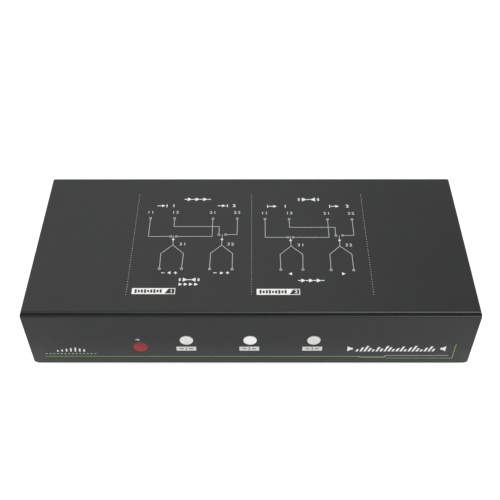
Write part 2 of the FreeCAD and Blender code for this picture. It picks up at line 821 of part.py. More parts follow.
def build_ribbon():
    """A flat ribbon that leaves the front board level and bends down to the main board."""
    start_y = value(f"{front_board_back} + socket_height")
    start_z = value(f"{underside} + ribbon_height")
    radius = value("ribbon_radius")
    bend_y = start_y + value("ribbon_lead")
    end_y = bend_y + radius
    end_z = value(f"{board_top} + socket_height")
    x = value(ribbon_x)
    half_width = value("ribbon_width") / 2
    half_thick = value("ribbon_thick") / 2
    middle = FreeCAD.Vector(x, bend_y, start_z - radius)
    halfway = middle + FreeCAD.Vector(0, radius, radius) / 2 ** 0.5
    path = Part.Wire([
        Part.LineSegment(FreeCAD.Vector(x, start_y, start_z), FreeCAD.Vector(x, bend_y, start_z)).toShape(),
        Part.Arc(FreeCAD.Vector(x, bend_y, start_z), halfway,
                 FreeCAD.Vector(x, end_y, start_z - radius)).toShape(),
        Part.LineSegment(FreeCAD.Vector(x, end_y, start_z - radius),
                         FreeCAD.Vector(x, end_y, end_z)).toShape(),
    ])
    section = Part.makePolygon([
        FreeCAD.Vector(x + across, start_y, start_z + up)
        for across, up in ((-half_width, -half_thick), (half_width, -half_thick),
                           (half_width, half_thick), (-half_width, half_thick),
                           (-half_width, -half_thick))
    ])
    ribbon = doc.addObject("Part::Feature", "Ribbon")
    ribbon.Shape = path.makePipeShell([section], True, False)
    node("ribbon_cable", ribbon)


def build_ribbon_sockets():
    left = f"{ribbon_x} - ribbon_width / 2 - socket_side"
    length = "ribbon_width + 2 * socket_side"
    front_socket = box("FrontSocket", left, front_board_back,
                       f"{underside} + ribbon_height - socket_thick / 2",
                       length, "socket_height", "socket_thick")
    fall = f"({front_board_back} + socket_height + ribbon_lead + ribbon_radius)"
    main_socket = box("MainSocket", left, f"{fall} - socket_thick / 2", board_top,
                      length, "socket_thick", "socket_height")
    node("ribbon_sockets", group("RibbonSockets", [front_socket, main_socket]))


# Relays: each is built about its own middle on the board's top face

def build_relay_shells():
    half_length = "relay_length / 2"
    half_width = "relay_width / 2"
    body = body_of("RelayCase")
    slab(body, "Additive", f"-{half_length}", f"-{half_width}", "relay_seat_gap",
         "relay_length", "relay_width", "relay_height - relay_seat_gap")
    slab(body, "Subtractive", f"relay_wall - {half_length}", f"relay_wall - {half_width}",
         "relay_seat_gap", "relay_length - 2 * relay_wall", "relay_width - 2 * relay_wall",
         "relay_height - relay_wall - relay_seat_gap")
    base = body_of("RelayBase")
    fit = "(relay_wall + relay_seat_gap)"
    slab(base, "Additive", f"{fit} - {half_length}", f"{fit} - {half_width}", "0",
         f"relay_length - 2 * {fit}", f"relay_width - 2 * {fit}", "relay_base_thick")
    drill(base, "XY_Plane", "0", relay_pins, "pin_hole_dia", "3 * relay_base_thick", symmetric=True)
    spots = [(x, relay_y, board_top) for x in relay_spots]
    node("relay_cases", copies("RelayCases", body, spots))
    node("relay_bases", copies("RelayBases", base, spots))


def build_relay_magnets():
    spots = [(x, relay_y, board_top) for x in relay_spots]
    foot = box("YokeFoot", f"-{yoke_left}", "-yoke_half_width", "relay_base_thick",
               f"{yoke_left} + yoke_right", "2 * yoke_half_width", "yoke_thick")
    post = box("YokePost", f"-{yoke_left}", "-yoke_half_width", "relay_base_thick",
               "yoke_thick", "2 * yoke_half_width", "yoke_height - relay_base_thick")
    core = cylinder("Core", "-core_offset", "0", "relay_base_thick", "core_dia",
                    "core_height - relay_base_thick")
    pole = cylinder("Pole", "-core_offset", "0", "core_height - pole_thick", "pole_dia", "pole_thick")
    node("relay_yokes", copies("Yokes", fuse("Yoke", foot, post, core, pole), spots))
    coil_low = "(relay_base_thick + yoke_thick + coil_gap)"
    coil_height = f"core_height - pole_thick - coil_gap - {coil_low}"
    winding = cylinder("Winding", "-core_offset", "0", coil_low, "coil_dia", coil_height)
    hollow = cylinder("CoilHollow", "-core_offset", "0", coil_low, "core_dia + 2 * coil_gap", coil_height)
    node("relay_coils", copies("Coils", cut("Coil", winding, hollow), spots))


armature_low = "(yoke_height + armature_gap)"
blade_low = f"({armature_low} + armature_thick / 2 - blade_thick / 2)"
contact_low = f"({blade_low} + blade_thick / 2 - contact_height / 2)"


def build_armatures():
    """Rocking plates on top of the yokes, each with two contact blades."""
    plate = box("ArmaturePlate", f"-{yoke_left}", "-yoke_half_width", armature_low,
                f"{yoke_left} + armature_reach", "2 * yoke_half_width", "armature_thick")
    pieces = [plate]
    for side in (-1, 1):
        pieces.append(box("Blade", "0", f"{side} * blade_side - blade_width / 2", blade_low,
                          f"{contact_x} + blade_overhang", "blade_width", "blade_thick"))
        pieces.append(cylinder("MovingContact", contact_x, f"{side} * blade_side", contact_low,
                               "contact_dia", "contact_height"))
    armature = fuse("Armature", *pieces)
    for number, x in enumerate(relay_spots, 1):
        node(f"relay_armature_{number}", copy_at("RelayArmature", armature, (x, relay_y, board_top)))


def build_relay_contacts():
    """Fixed contacts above and below each moving one, with their pins through base and board."""
    upper_low = f"({contact_low} + contact_height + contact_gap)"
    lower_top = f"({contact_low} - contact_stroke)"
    pieces = []
    for side in (-1, 1):
        y = f"{side} * blade_side"
        strip_y = f"{y} - strip_width / 2"
        upper = cylinder("UpperContact", contact_x, y, upper_low, "contact_dia", "fixed_contact_height")
        bridge = box("UpperBridge", f"{contact_x} - contact_dia / 2", strip_y,
                     f"{upper_low} + fixed_contact_height",
                     "contact_set_back + strip_thick / 2 + contact_dia / 2",
                     "strip_width", "strip_thick")
        drop = box("UpperDrop", f"{strip_end_x} - strip_thick / 2", strip_y, "-pin_length", "strip_thick",
                   "strip_width", f"{upper_low} + fixed_contact_height + strip_thick + pin_length")
        pieces.append(fuse("UpperTerminal", upper, bridge, drop))
        lower = cylinder("LowerContact", contact_x, y, f"{lower_top} - fixed_contact_height",
                         "contact_dia", "fixed_contact_height")
        stem = box("LowerStem", f"{contact_x} - strip_thick / 2", strip_y, "-pin_length",
                   "strip_thick", "strip_width", f"{lower_top} - fixed_contact_height + pin_length")
        pieces.append(fuse("LowerTerminal", lower, stem))
        pieces.append(box("CommonTerminal", f"-{strip_end_x} - strip_thick / 2", strip_y, "-pin_length",
                          "strip_thick", "strip_width", "common_height + pin_length"))
        pieces.append(cylinder("CoilPin", "coil_pin_x", f"{side} * coil_pin_side", "-pin_length",
                               "coil_pin_dia", "pin_length + relay_base_thick + yoke_thick"))
    terminals = group("RelayTerminals", pieces)
    spots = [(x, relay_y, board_top) for x in relay_spots]
    node("relay_contacts", copies("RelayContacts", terminals, spots))


# Binding posts: each is built along +Z from the rear panel's outer face and laid along +Y

def build_post_studs():
    flange_low = "post_base_thick"
    flange_top = "(post_base_thick + stud_flange_thick)"
    tip = f"({flange_top} + stud_barrel_length)"
    body = turned("Stud", [
        ("0", "-stud_shank_length"),
        ("stud_shank_dia / 2", "-stud_shank_length"),
        ("stud_shank_dia / 2", flange_low),
        ("stud_flange_dia / 2", flange_low),
        ("stud_flange_dia / 2", flange_top),
        ("stud_barrel_dia / 2", flange_top),
        ("stud_barrel_dia / 2", f"{tip} - stud_chamfer"),
        ("stud_barrel_dia / 2 - stud_chamfer", tip),
        ("socket_bore_dia / 2", tip),
        ("socket_bore_dia / 2", f"{tip} - socket_bore_depth"),
        ("0", f"{tip} - socket_bore_depth"),
    ])
    drill(body, "XZ_Plane", "0", [("0", f"{flange_top} + wire_hole_offset")],
          "wire_hole_dia", "2 * stud_barrel_dia", symmetric=True)
    node("post_studs", copies("Studs", body, [(x, rear, post_z) for x in all_posts], along_y))


def build_post_bases():
    """Shouldered insulators outside the panel and plain ones inside it."""
    bore = "(stud_shank_dia / 2 + post_bore_gap)"
    boss = "(post_hole_dia / 2 - post_boss_gap)"
    base = turned("PostBase", [
        (bore, "-post_boss_depth"),
        (boss, "-post_boss_depth"),
        (boss, "0"),
        ("post_base_dia / 2", "0"),
        ("post_base_dia / 2", "post_base_thick - post_base_edge"),
        ("post_base_dia / 2 - post_base_edge", "post_base_thick"),
        (bore, "post_base_thick"),
    ])
    for colour, spots in (("black", black_posts), ("red", red_posts)):
        places_here = [(x, rear, post_z) for x in spots]
        node(f"post_bases_{colour}", copies("PostBases", base, places_here, along_y))
    washer = turned("InnerWasher", [
        (bore, "0"),
        ("washer_dia / 2", "0"),
        ("washer_dia / 2", "washer_thick"),
        (bore, "washer_thick"),
    ])
    inside = [(x, rear_inside, post_z) for x in all_posts]
    node("post_inner_washers", copies("InnerWashers", washer, inside, along_minus_y))


def build_post_nuts():
    bore = "stud_shank_dia + 2 * screw_gap"
    hexagon = doc.addObject("Part::Prism", "NutHexagon")
    bind(hexagon, Circumradius="nut_dia / 2", Height="nut_thick")
    nut = cut("Nut", hexagon, cylinder("NutBore", "0", "0", "0", bore, "nut_thick"))
    first = f"{rear_inside} - washer_thick"
    second = f"{rear} - {tag_seat} - tag_thick"
    spots = [(x, y, post_z) for x in all_posts for y in (first, second)]
    node("post_nuts", copies("Nuts", nut, spots, along_minus_y))


def build_post_tags():
    """Ring tags under the outer nuts, each with a strap down through the main board."""
    body = body_of("Tag")
    ring = sketch_on(body, "XZ_Plane")
    circles(ring, [("0", "0")], "tag_ring_dia")
    feature("Pad", ring, Length="tag_thick")
    drop = f"({post_z} - {board_low} + tag_tail)"
    slab(body, "Additive", "-tag_strap_width / 2", "-tag_thick", f"-{drop}",
         "tag_strap_width", "tag_thick", drop)
    drill(body, "XZ_Plane", "0", [("0", "0")], "stud_shank_dia + 2 * screw_gap",
          "4 * tag_thick", symmetric=True)
    node("post_tags", copies("Tags", body, [(x, f"{rear} - {tag_seat}", post_z) for x in all_posts]))


def build_post_caps():
    """Fluted caps that screw along the studs; a plug goes in through the end hole."""
    low = "(post_base_thick + stud_flange_thick + cap_seat_gap)"
    end = f"({low} + cap_length)"
    inner = "(stud_barrel_dia / 2 + cap_thread_gap)"
    body = turned("PostCap", [
        (inner, low),
        ("cap_dia / 2", low),
        ("cap_dia / 2", f"{end} - cap_edge"),
        ("cap_dia / 2 - cap_edge", end),
        ("cap_end_hole_dia / 2", end),
        ("cap_end_hole_dia / 2", f"{end} - cap_end_wall"),
        (inner, f"{end} - cap_end_wall"),
    ])
    rim = sketch_on(body, "XY_Plane", end)
    circles(rim, [("cap_dia / 2 + flute_dia / 4", "0")], "flute_dia")
    flute = feature("Pocket", rim, Length="cap_length - cap_collar")
    ring = body.newObject("PartDesign::PolarPattern", "Flutes")
    ring.Originals = [flute]
    ring.Axis = (rim, ["N_Axis"])
    ring.Angle = 360
    ring.Occurrences = flute_count
    body.Tip = ring
    doc.recompute()
    for number, x in enumerate(all_posts, 1):
        node(f"post_cap_{number:02d}", copy_at("Cap", body, (x, rear, post_z), along_y))


# Power inlet and the parts on the main board

def build_jack():
    face = f"({rear_inside} - jack_panel_gap)"
    case = box("JackCase", f"{jack_x} - jack_width / 2", f"{face} - jack_depth", board_top,
               "jack_width", "jack_depth", "jack_height")
    nose_end = f"({rear} + jack_nose_proud)"
    nose = cylinder("JackNose", jack_x, f"{face} - jack_nose_dia / 2", jack_z, "jack_nose_dia",
                    f"{nose_end} - {face} + jack_nose_dia / 2", along_y)
    bore_end = f"({nose_end} - jack_bore_depth)"
    bore = cylinder("JackBore", jack_x, bore_end, jack_z, "jack_bore_dia", "jack_bore_depth", along_y)
    pin_length = f"({nose_end} - jack_pin_set_back - {face} + jack_depth)"
    pin_way = cylinder("PinWay", jack_x, f"{face} - jack_depth", jack_z,
                       "jack_pin_dia + 2 * screw_gap", "jack_depth", along_y)
    node("power_jack", cut("Jack", fuse("JackBlank", case, nose), bore, pin_way))
    pin = cylinder("JackPin", jack_x, f"{face} - jack_depth - jack_tab_thick", jack_z,
                   "jack_pin_dia", f"{pin_length} + jack_tab_thick", along_y)
    tab = box("JackTab", f"{jack_x} - jack_tab_width / 2", f"{face} - jack_depth - jack_tab_thick",
              board_top, "jack_tab_width", "jack_tab_thick", "jack_axis_height + jack_pin_dia / 2")
    node("power_jack_pin", fuse("JackPinTab", pin, tab))


def build_chip(name, x, y, length, width, height):
    """A chip package with a row of legs along each long side."""
    pieces = [box(name + "Case", f"{x} - {length} / 2", f"{y} - {width} / 2", board_top,
                  length, width, height)]
    for index in range(chip_leg_pairs):
        leg_x = f"{x} + ({index} - {(chip_leg_pairs - 1) / 2}) * leg_pitch - leg_width / 2"
        pieces.append(box(name + "Legs", leg_x, f"{y} - {width} / 2 - leg_reach", board_top,
                          "leg_width", f"{width} + 2 * leg_reach", "leg_height"))
    return fuse(name, *pieces)


def build_board_parts():
    row = f"({front} + chip_front_gap)"
    node("controller_chip",
         build_chip("Controller", "chip_x", row, "chip_length", "chip_width", "chip_height"))
    node("relay_driver",
         build_chip("Driver", driver_x, row, "driver_length", "driver_width", "driver_height"))
    can = turned("Capacitor", [
        ("0", "0"),
        ("capacitor_dia / 2", "0"),
        ("capacitor_dia / 2", "capacitor_height - capacitor_edge"),
        ("capacitor_dia / 2 - capacitor_edge", "capacitor_height"),
        ("0", "capacitor_height"),
    ])
    cans = [(f"{capacitor_x} + {index} * capacitor_pitch", f"{front} + capacitor_front_gap", board_top)
            for index in range(3)]
    node("capacitors", copies("Capacitors", can, cans))


def build_regulator():
    """A tabbed regulator standing on its three legs."""
    y = f"({front} + regulator_front_gap)"
    left = "(regulator_x - regulator_width / 2)"
    case_low = f"({board_top} + regulator_lift)"
    case = box("RegulatorCase", left, y, case_low,
               "regulator_width", "regulator_depth", "regulator_body_height")
    tab = box("RegulatorTab", left, f"{y} + regulator_depth - regulator_tab_thick", case_low,
              "regulator_width", "regulator_tab_thick", "regulator_body_height + regulator_tab_height")
    legs = [
        box("RegulatorLeg", f"regulator_x + {index} * regulator_leg_pitch - regulator_leg_width / 2",
            f"{y} + regulator_depth / 2", board_top,
            "regulator_leg_width", "regulator_leg_width", "regulator_lift + regulator_leg_width")
        for index in (-1, 0, 1)
    ]
    hole_z = f"{case_low} + regulator_body_height + regulator_tab_height / 2"
    hole = cylinder("RegulatorHole", "regulator_x", y, hole_z, "regulator_hole_dia",
                    "2 * regulator_depth", along_y)
    node("voltage_regulator", cut("Regulator", fuse("RegulatorBlank", case, tab, *legs), hole))


# Build, check and export

def build_all():
    build_tray()
    build_cover()
    build_case_screws()
    build_feet()
    build_main_board()
    build_front_board()
    build_guide()
    build_buttons()
    build_switches()
    build_window()
    build_ribbon()
    build_ribbon_sockets()
    build_relay_shells()
    build_relay_magnets()
    build_armatures()
    build_relay_contacts()
    build_post_studs()
    build_post_bases()
    build_post_nuts()
    build_post_tags()
    build_post_caps()
    build_jack()
    build_board_parts()
    build_regulator()
    doc.recompute()


def check_all():
    for item in doc.Objects:
        if {"Invalid", "Error"} & set(item.State):
            raise RuntimeError(f"{item.Label}: {item.State}")
    for name, item in nodes.items():
        shape = Part.getShape(item)
        if shape.isNull() or not shape.isValid() or not shape.Solids:
            raise RuntimeError(f"{name}: no valid solid")


def export_all():
    os.makedirs("parts", exist_ok=True)
    for name, item in nodes.items():
        Part.getShape(item).exportStep(f"parts/{name}.step")
    print(len(nodes), "nodes")


build_all()
check_all()
export_all()
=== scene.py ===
from math import atan2, cos, degrees, pi, radians, sin

import bmesh
import bpy
from mathutils import Matrix, Vector


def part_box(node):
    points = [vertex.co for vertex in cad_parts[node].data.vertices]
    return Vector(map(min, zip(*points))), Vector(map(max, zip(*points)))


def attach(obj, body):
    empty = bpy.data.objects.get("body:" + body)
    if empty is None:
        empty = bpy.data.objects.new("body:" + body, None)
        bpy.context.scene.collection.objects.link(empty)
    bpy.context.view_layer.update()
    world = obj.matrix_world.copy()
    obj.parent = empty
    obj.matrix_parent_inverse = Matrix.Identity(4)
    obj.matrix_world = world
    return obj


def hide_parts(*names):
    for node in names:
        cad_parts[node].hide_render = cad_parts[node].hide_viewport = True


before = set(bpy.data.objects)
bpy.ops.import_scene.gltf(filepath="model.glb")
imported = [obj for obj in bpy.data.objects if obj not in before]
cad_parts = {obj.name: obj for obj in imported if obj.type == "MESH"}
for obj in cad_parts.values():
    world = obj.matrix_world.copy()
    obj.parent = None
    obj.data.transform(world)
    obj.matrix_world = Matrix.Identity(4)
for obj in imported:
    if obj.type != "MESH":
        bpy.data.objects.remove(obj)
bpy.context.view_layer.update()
mm = 0.001
near, sliver, facing = 0.01, 0.002, 0.9  # mm off a plane, mm between doubles, a normal's share along an axis
print("frame loaded:", len(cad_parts), "nodes")


def boxOf(node):  # a node's lowest and highest corner and its middle, in mm
    low, high = (Vector(corner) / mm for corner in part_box(node))
    return low, high, (low + high) / 2


# Places that the pieces share, in millimetres
trayLow, trayHigh = boxOf("base_tray")[:2]
coverLow, coverHigh, coverMiddle = boxOf("top_cover")
case = {"front": trayLow.y, "rear": trayHigh.y, "underside": trayLow.z, "sheet": 1.2}
case["top"] = coverHigh.z - 0.05  # the cover lies a little low, so that its print stays in the case's height
buttonSpots = {name: boxOf(f"button_{name}")[2] for name in ("left", "middle", "right")}
windowSpot = boxOf("ir_window")[2]
postSpots = [boxOf(f"post_cap_{number:02d}")[2] for number in range(1, 13)]


# Work with objects

def deselect():
    if bpy.context.object and bpy.context.object.mode != "OBJECT":
        bpy.ops.object.mode_set(mode="OBJECT")
    bpy.ops.object.select_all(action="DESELECT")


def hold(*pieces):  # leaves edit mode and selects these pieces alone, the last one active
    deselect()
    for piece in pieces:
        piece.select_set(True)
        bpy.context.view_layer.objects.active = piece


def openUp(piece):  # edit mode with nothing selected
    hold(piece)
    bpy.ops.object.mode_set(mode="EDIT")
    bpy.ops.mesh.select_all(action="DESELECT")


def pick(piece, kind, test):  # in edit mode, selects what passes the test of item and middle in mm
    bpy.ops.mesh.select_mode(type=kind)
    bpy.ops.mesh.select_all(action="DESELECT")
    shape = bmesh.from_edit_mesh(piece.data)
    for item in {"VERT": shape.verts, "EDGE": shape.edges, "FACE": shape.faces}[kind]:
        corners = [item] if kind == "VERT" else item.verts
        middle = sum((corner.co for corner in corners), Vector()) / len(corners) / mm
        if test(item, middle):
            item.select_set(True)
    bmesh.update_edit_mesh(piece.data)


def closeUp(merge=sliver):  # merges doubles, turns the faces outwards and leaves edit mode
    bpy.ops.mesh.select_mode(type="VERT")
    bpy.ops.mesh.select_all(action="SELECT")
    bpy.ops.mesh.remove_doubles(threshold=merge * mm)
    bpy.ops.mesh.normals_make_consistent(inside=False)
    bpy.ops.object.mode_set(mode="OBJECT")


def modify(piece, kind, **settings):  # adds a modifier and applies it at once
    hold(piece)
    change = piece.modifiers.new(kind.title(), kind)
    for name, value in settings.items():
        setattr(change, name, value)
    bpy.ops.object.modifier_apply(modifier=change.name)


def soften(piece, width, angle=35):  # small rounded edges, smooth shading on them and true flats between
    look = {"rounds": 2, "smooth": 32, "flats": 80}
    modify(piece, "BEVEL", width=width * mm, segments=look["rounds"], limit_method="ANGLE",
           angle_limit=radians(angle))
    bpy.ops.object.shade_smooth_by_angle(angle=radians(look["smooth"]))
    modify(piece, "WEIGHTED_NORMAL", weight=look["flats"], keep_sharp=True)


def settle(piece, place=(0, 0, 0), turn=(0, 0, 0)):  # its place goes into its mesh
    hold(piece)
    piece.rotation_euler = [radians(angle) for angle in turn]
    piece.location = Vector(place) * mm
    bpy.ops.object.transform_apply()
    return piece


def copyTo(piece, name, place, turn=(0, 0, 0)):  # a copy with its own mesh
    hold(piece)
    bpy.ops.object.duplicate(linked=False)
    twin = bpy.context.object
    twin.name = name
    return settle(twin, place, turn)


def discard(piece):
    hold(piece)
    bpy.ops.object.delete()


def slab(name, centre, size):  # a cuboid of that size in mm
    deselect()
    bpy.ops.mesh.primitive_cube_add(size=mm, location=Vector(centre) * mm, scale=size)
    piece = bpy.context.object
    piece.name = name
    bpy.ops.object.transform_apply()
    return piece


def turned(name, rings, sides, hollow=False):
    # a ring, drawn out and scaled to each next radius and height; a hollow piece comes back to its start
    deselect()
    (radius, height), *others = rings
    bpy.ops.mesh.primitive_circle_add(vertices=sides, radius=radius * mm, location=(0, 0, height * mm),
                                      fill_type="NOTHING" if hollow else "NGON")
    piece = bpy.context.object
    piece.name = name
    bpy.ops.object.transform_apply()
    bpy.ops.object.mode_set(mode="EDIT")
    bpy.ops.mesh.select_mode(type="EDGE" if hollow else "FACE")
    bpy.ops.mesh.select_all(action="SELECT")
    for nextRadius, nextHeight in others:
        move = {"value": (0, 0, (nextHeight - height) * mm)}
        if hollow:
            bpy.ops.mesh.extrude_edges_move(TRANSFORM_OT_translate=move)
        else:
            bpy.ops.mesh.extrude_region_move(TRANSFORM_OT_translate=move)
        grow = nextRadius / radius
        bpy.ops.transform.resize(value=(grow, grow, 1), center_override=(0, 0, nextHeight * mm))
        radius, height = nextRadius, nextHeight
    closeUp()
    return piece


def fromNode(name, node, width):
    # a merged copy of a CAD node's mesh, its flat faces cleaned and its edges rounded
    clean = {"merge": 0.004, "flat": 0.4}  # mm and degrees
    piece = bpy.data.objects.new(name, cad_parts[node].data.copy())
    bpy.context.collection.objects.link(piece)
    openUp(piece)
    bpy.ops.mesh.select_all(action="SELECT")
    bpy.ops.mesh.remove_doubles(threshold=clean["merge"] * mm)
    bpy.ops.mesh.dissolve_limited(angle_limit=radians(clean["flat"]))
    soften(piece, width)
    return piece


def dress(piece, finish, body, *nodes):
    piece.data.materials.clear()
    piece.data.materials.append(finish)
    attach(piece, body)
    if nodes:
        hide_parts(*nodes)


# Work with materials

def linear(colour):  # sRGB hex to linear
    parts = [int(colour[start:start + 2], 16) / 255 for start in (1, 3, 5)]
    return [part / 12.92 if part <= 0.04045 else ((part + 0.055) / 1.055) ** 2.4 for part in parts] + [1]


def addNode(tree, kind, settings=None, links=None):
    node = tree.nodes.new("ShaderNode" + kind)
    for name, value in (settings or {}).items():
        if isinstance(name, int) or name in node.inputs:
            node.inputs[name].default_value = value
        else:
            setattr(node, name, value)
    for name, source in (links or {}).items():
        tree.links.new(source, node.inputs[name])
    return node


def ramp(tree, value, start, finish, first=0.0, last=1.0, curve="LINEAR"):  # spreads a range over another
    ends = {"From Min": start, "From Max": finish, "To Min": first, "To Max": last}
    node = addNode(tree, "MapRange", {"interpolation_type": curve, **ends}, {"Value": value})
    return node.outputs["Result"]


def makeFinish(name, look):
    # two close colours that drift over the piece, an uneven sheen and a fine relief, all sized in mm
    usual = {"drift": 4.0, "fleck": 0.3, "pattern": "speckled", "along": "Z", "relief": 0.1, "depth": 0.01,
             "most": 0.8, "shader": {}}
    spread = {"colour": (0.3, 0.7), "sheen": (0.25, 0.75)}  # the part of a noise that is drawn out in full
    look = {**usual, **look}
    material = bpy.data.materials.new(name)
    material.use_nodes = True
    tree = material.node_tree
    shader = tree.nodes["Principled BSDF"]
    for socket, level in look["shader"].items():
        shader.inputs[socket].default_value = level
    place = grainPlace = addNode(tree, "TexCoord").outputs["Object"]
    if "drawn" in look:  # how many times finer the grain is along X, Y and Z
        grainPlace = addNode(tree, "Mapping", {"Scale": look["drawn"]}, {"Vector": place}).outputs["Vector"]
    kind, settings, socket = {
        "wound": ("TexWave", {"bands_direction": look["along"], "wave_profile": "SIN",
                              "Distortion": 0.0, "Scale": pi / 10 / (look["grain"] * mm)}, "Fac"),
        "cells": ("TexVoronoi", {"Scale": 1 / (look["grain"] * mm)}, "Distance"),
        "speckled": ("TexNoise", {"Scale": 1 / (look["grain"] * mm), "Detail": 4.0, "Roughness": 0.6}, "Fac"),
    }[look["pattern"]]
    relief = addNode(tree, kind, settings, {"Vector": grainPlace}).outputs[socket]
    drift = addNode(tree, "TexNoise", {"Scale": 1 / (look["drift"] * mm), "Detail": 3.0}, {"Vector": place})
    flecks = addNode(tree, "Math", {"operation": "MULTIPLY", 1: look["fleck"]}, {0: relief})
    share = addNode(tree, "Math", {"operation": "MULTIPLY_ADD", 1: 1 - look["fleck"]},
                    {0: drift.outputs["Fac"], 2: flecks.outputs[0]})
    share = ramp(tree, share.outputs[0], *spread["colour"])
    if "fade" in look:  # most of the second colour takes over along X, between two places in mm; it paints the highlight on the cover's cut edge and the shade on the side buttons
        across = addNode(tree, "SeparateXYZ", links={"Vector": place}).outputs["X"]
        across = ramp(tree, across, *(spot * mm for spot in look["fade"]))
        share = addNode(tree, "Mix", {0: look["most"]}, {2: share, 3: across}).outputs[0]
    first, second = (linear(colour) for colour in look["colours"])
    tint = addNode(tree, "Mix", {"data_type": "RGBA", 6: first, 7: second}, {0: share})
    sheen = ramp(tree, relief, *spread["sheen"], *look["rough"])
    bump = addNode(tree, "Bump", {"Strength": look["relief"], "Distance": look["depth"] * mm},
                   {"Height": relief})
    tree.links.new(tint.outputs[2], shader.inputs["Base Color"])
    tree.links.new(sheen, shader.inputs["Roughness"])
    tree.links.new(bump.outputs["Normal"], shader.inputs["Normal"])
    return material


# Polyester powder coat, sprayed and baked on steel: satin black with a fine orange peel; its grain of about
# 0.4 mm is drawn coarser, so that it shows
powderCoat = makeFinish("powderCoat", {
    "colours": ("#151617", "#1c1d1e"), "drift": 9.0, "grain": 0.9, "fleck": 0.45, "rough": (0.25, 0.36),
    "relief": 0.2, "depth": 0.03, "shader": {"Specular IOR Level": 0.37}})
# The same coat on the cut faces, painted paler than it is to stand in for the highlight along the sheared
# edge: a painted highlight that grows to the right
paintedHighlightCoat = makeFinish("paintedHighlightCoat", {
    "colours": ("#1f2021", "#5f6062"), "fade": (-122.0, 40.0), "drift": 5.0, "grain": 0.7, "fleck": 0.6,
    "rough": (0.3, 0.42), "relief": 0.2, "depth": 0.03, "shader": {"Specular IOR Level": 0.5}})
# Screen-printed epoxy ink, cured flat: even, a little chalky, with the mesh's faint unevenness
inkFilm = {"drift": 3.0, "grain": 0.3, "rough": (0.45, 0.6)}
# White ink, laid full: clean and bright on the black
whiteInk = makeFinish("whiteScreenInk", {**inkFilm, "colours": ("#e3e3e1", "#f0f0ee")})
# The same white pulled through fine lines of the screen: a thinner film that the black dulls
thinWhiteInk = makeFinish("thinWhiteScreenInk", {**inkFilm, "colours": ("#cdcdcb", "#d7d7d5")})
# Green ink: soft leaf green
greenInk = makeFinish("greenScreenInk", {**inkFilm, "colours": ("#8bb57e", "#9bc38c")})
# Grey ink: a pale field for marks
greyInk = makeFinish("paleGreyScreenInk", {**inkFilm, "colours": ("#cfcfcd", "#dadad8")})
# Dark ink over the pale one: plain charcoal
darkInk = makeFinish("darkScreenInk", {**inkFilm, "colours": ("#3c3c3e", "#48484a")})
# Opal acrylic, moulded and lightly frosted: milky, soft at the edge; a little darker to the right, which is
# painted shade where less light falls
frosted = {"grain": 0.25, "rough": (0.4, 0.52), "relief": 0.05}
milky = {"IOR": 1.49, "Subsurface Weight": 0.08, "Subsurface Scale": 0.0008}
opalAcrylic = makeFinish("opalAcrylic", {
    **frosted, "colours": ("#e7e6e2", "#dbdcd7"), "fade": (-30.0, 30.0), "shader": milky})
# The same acrylic with its lamp on: evenly bright
opalAcrylicLit = makeFinish("opalAcrylicLit", {
    **frosted, "colours": ("#e8e8e8", "#efefee"),
    "shader": {**milky, "Emission Color": (1, 1, 1, 1), "Emission Strength": 0.07}})
# Red polycarbonate, moulded with a polished face: deep, clear red that passes infrared
redPolycarbonate = makeFinish("redPolycarbonate", {
    "colours": ("#8e1a19", "#971f1e"), "drift": 5.0, "grain": 1.5, "rough": (0.2, 0.28), "relief": 0.03,
    "shader": {"Specular IOR Level": 0.36}})
# Red ABS, moulded glossy: clean highlights down each flute
glossy = {"drift": 6.0, "grain": 0.7, "relief": 0.06, "depth": 0.02}
redMoulding = makeFinish("redMoulding", {
    **glossy, "colours": ("#a01614", "#ad1d19"), "rough": (0.2, 0.32),
    "shader": {"IOR": 1.53, "Coat Weight": 0.15, "Coat Roughness": 0.12}})
# Black phenolic, moulded glossy: the same highlights on near black
blackMoulding = makeFinish("blackMoulding", {
    **glossy, "colours": ("#161617", "#1d1d1f"), "rough": (0.22, 0.36),
    "shader": {"IOR": 1.53, "Coat Weight": 0.12, "Coat Roughness": 0.15}})
# Gold flashed on turned brass: warm bright rings with fine tool marks round the axis
goldFlash = makeFinish("goldFlashedBrass", {
    "colours": ("#e3bd69", "#edcd80"), "grain": 0.5, "drawn": (1.0, 6.0, 1.0),
    "rough": (0.2, 0.34), "relief": 0.12, "shader": {"Metallic": 1.0}})
# Black-oxide steel screws: dull, nearly black, a little oily
blackOxide = makeFinish("blackOxideSteel", {
    "colours": ("#262628", "#343436"), "drift": 2.0, "grain": 0.4, "rough": (0.34, 0.5), "relief": 0.12,
    "shader": {"Metallic": 0.9}})
# Zinc-plated steel: cool bright grey with a faint blue cast and clouded sheen
zincPlate = makeFinish("zincPlatedSteel", {
    "colours": ("#b9bcc2", "#cfd0cf"), "drift": 2.5, "grain": 0.4, "rough": (0.26, 0.42),
    "shader": {"Metallic": 1.0}})
# Nickel plate on turned brass: slightly warm, brighter than zinc
nickelPlate = makeFinish("nickelPlatedBrass", {
    "colours": ("#c6c2b8", "#d8d4ca"), "drift": 3.0, "grain": 0.5, "rough": (0.18, 0.3), "relief": 0.08,
    "shader": {"Metallic": 1.0}})
# Soft iron, stamped: dull grey with rolling marks along its length
softIron = makeFinish("stampedSoftIron", {
    "colours": ("#8f8c87", "#a3a09a"), "drift": 3.0, "grain": 0.6, "drawn": (0.15, 1.0, 1.0),
    "rough": (0.32, 0.48), "relief": 0.15, "shader": {"Metallic": 1.0}})
# Tinned copper and brass strip: soft silver, uneven where the tin ran
tinnedStrip = makeFinish("tinnedStrip", {
    "colours": ("#c9c6be", "#dcd9d2"), "drift": 1.5, "grain": 0.8, "rough": (0.28, 0.44), "relief": 0.2,
    "depth": 0.02, "shader": {"Metallic": 1.0}})
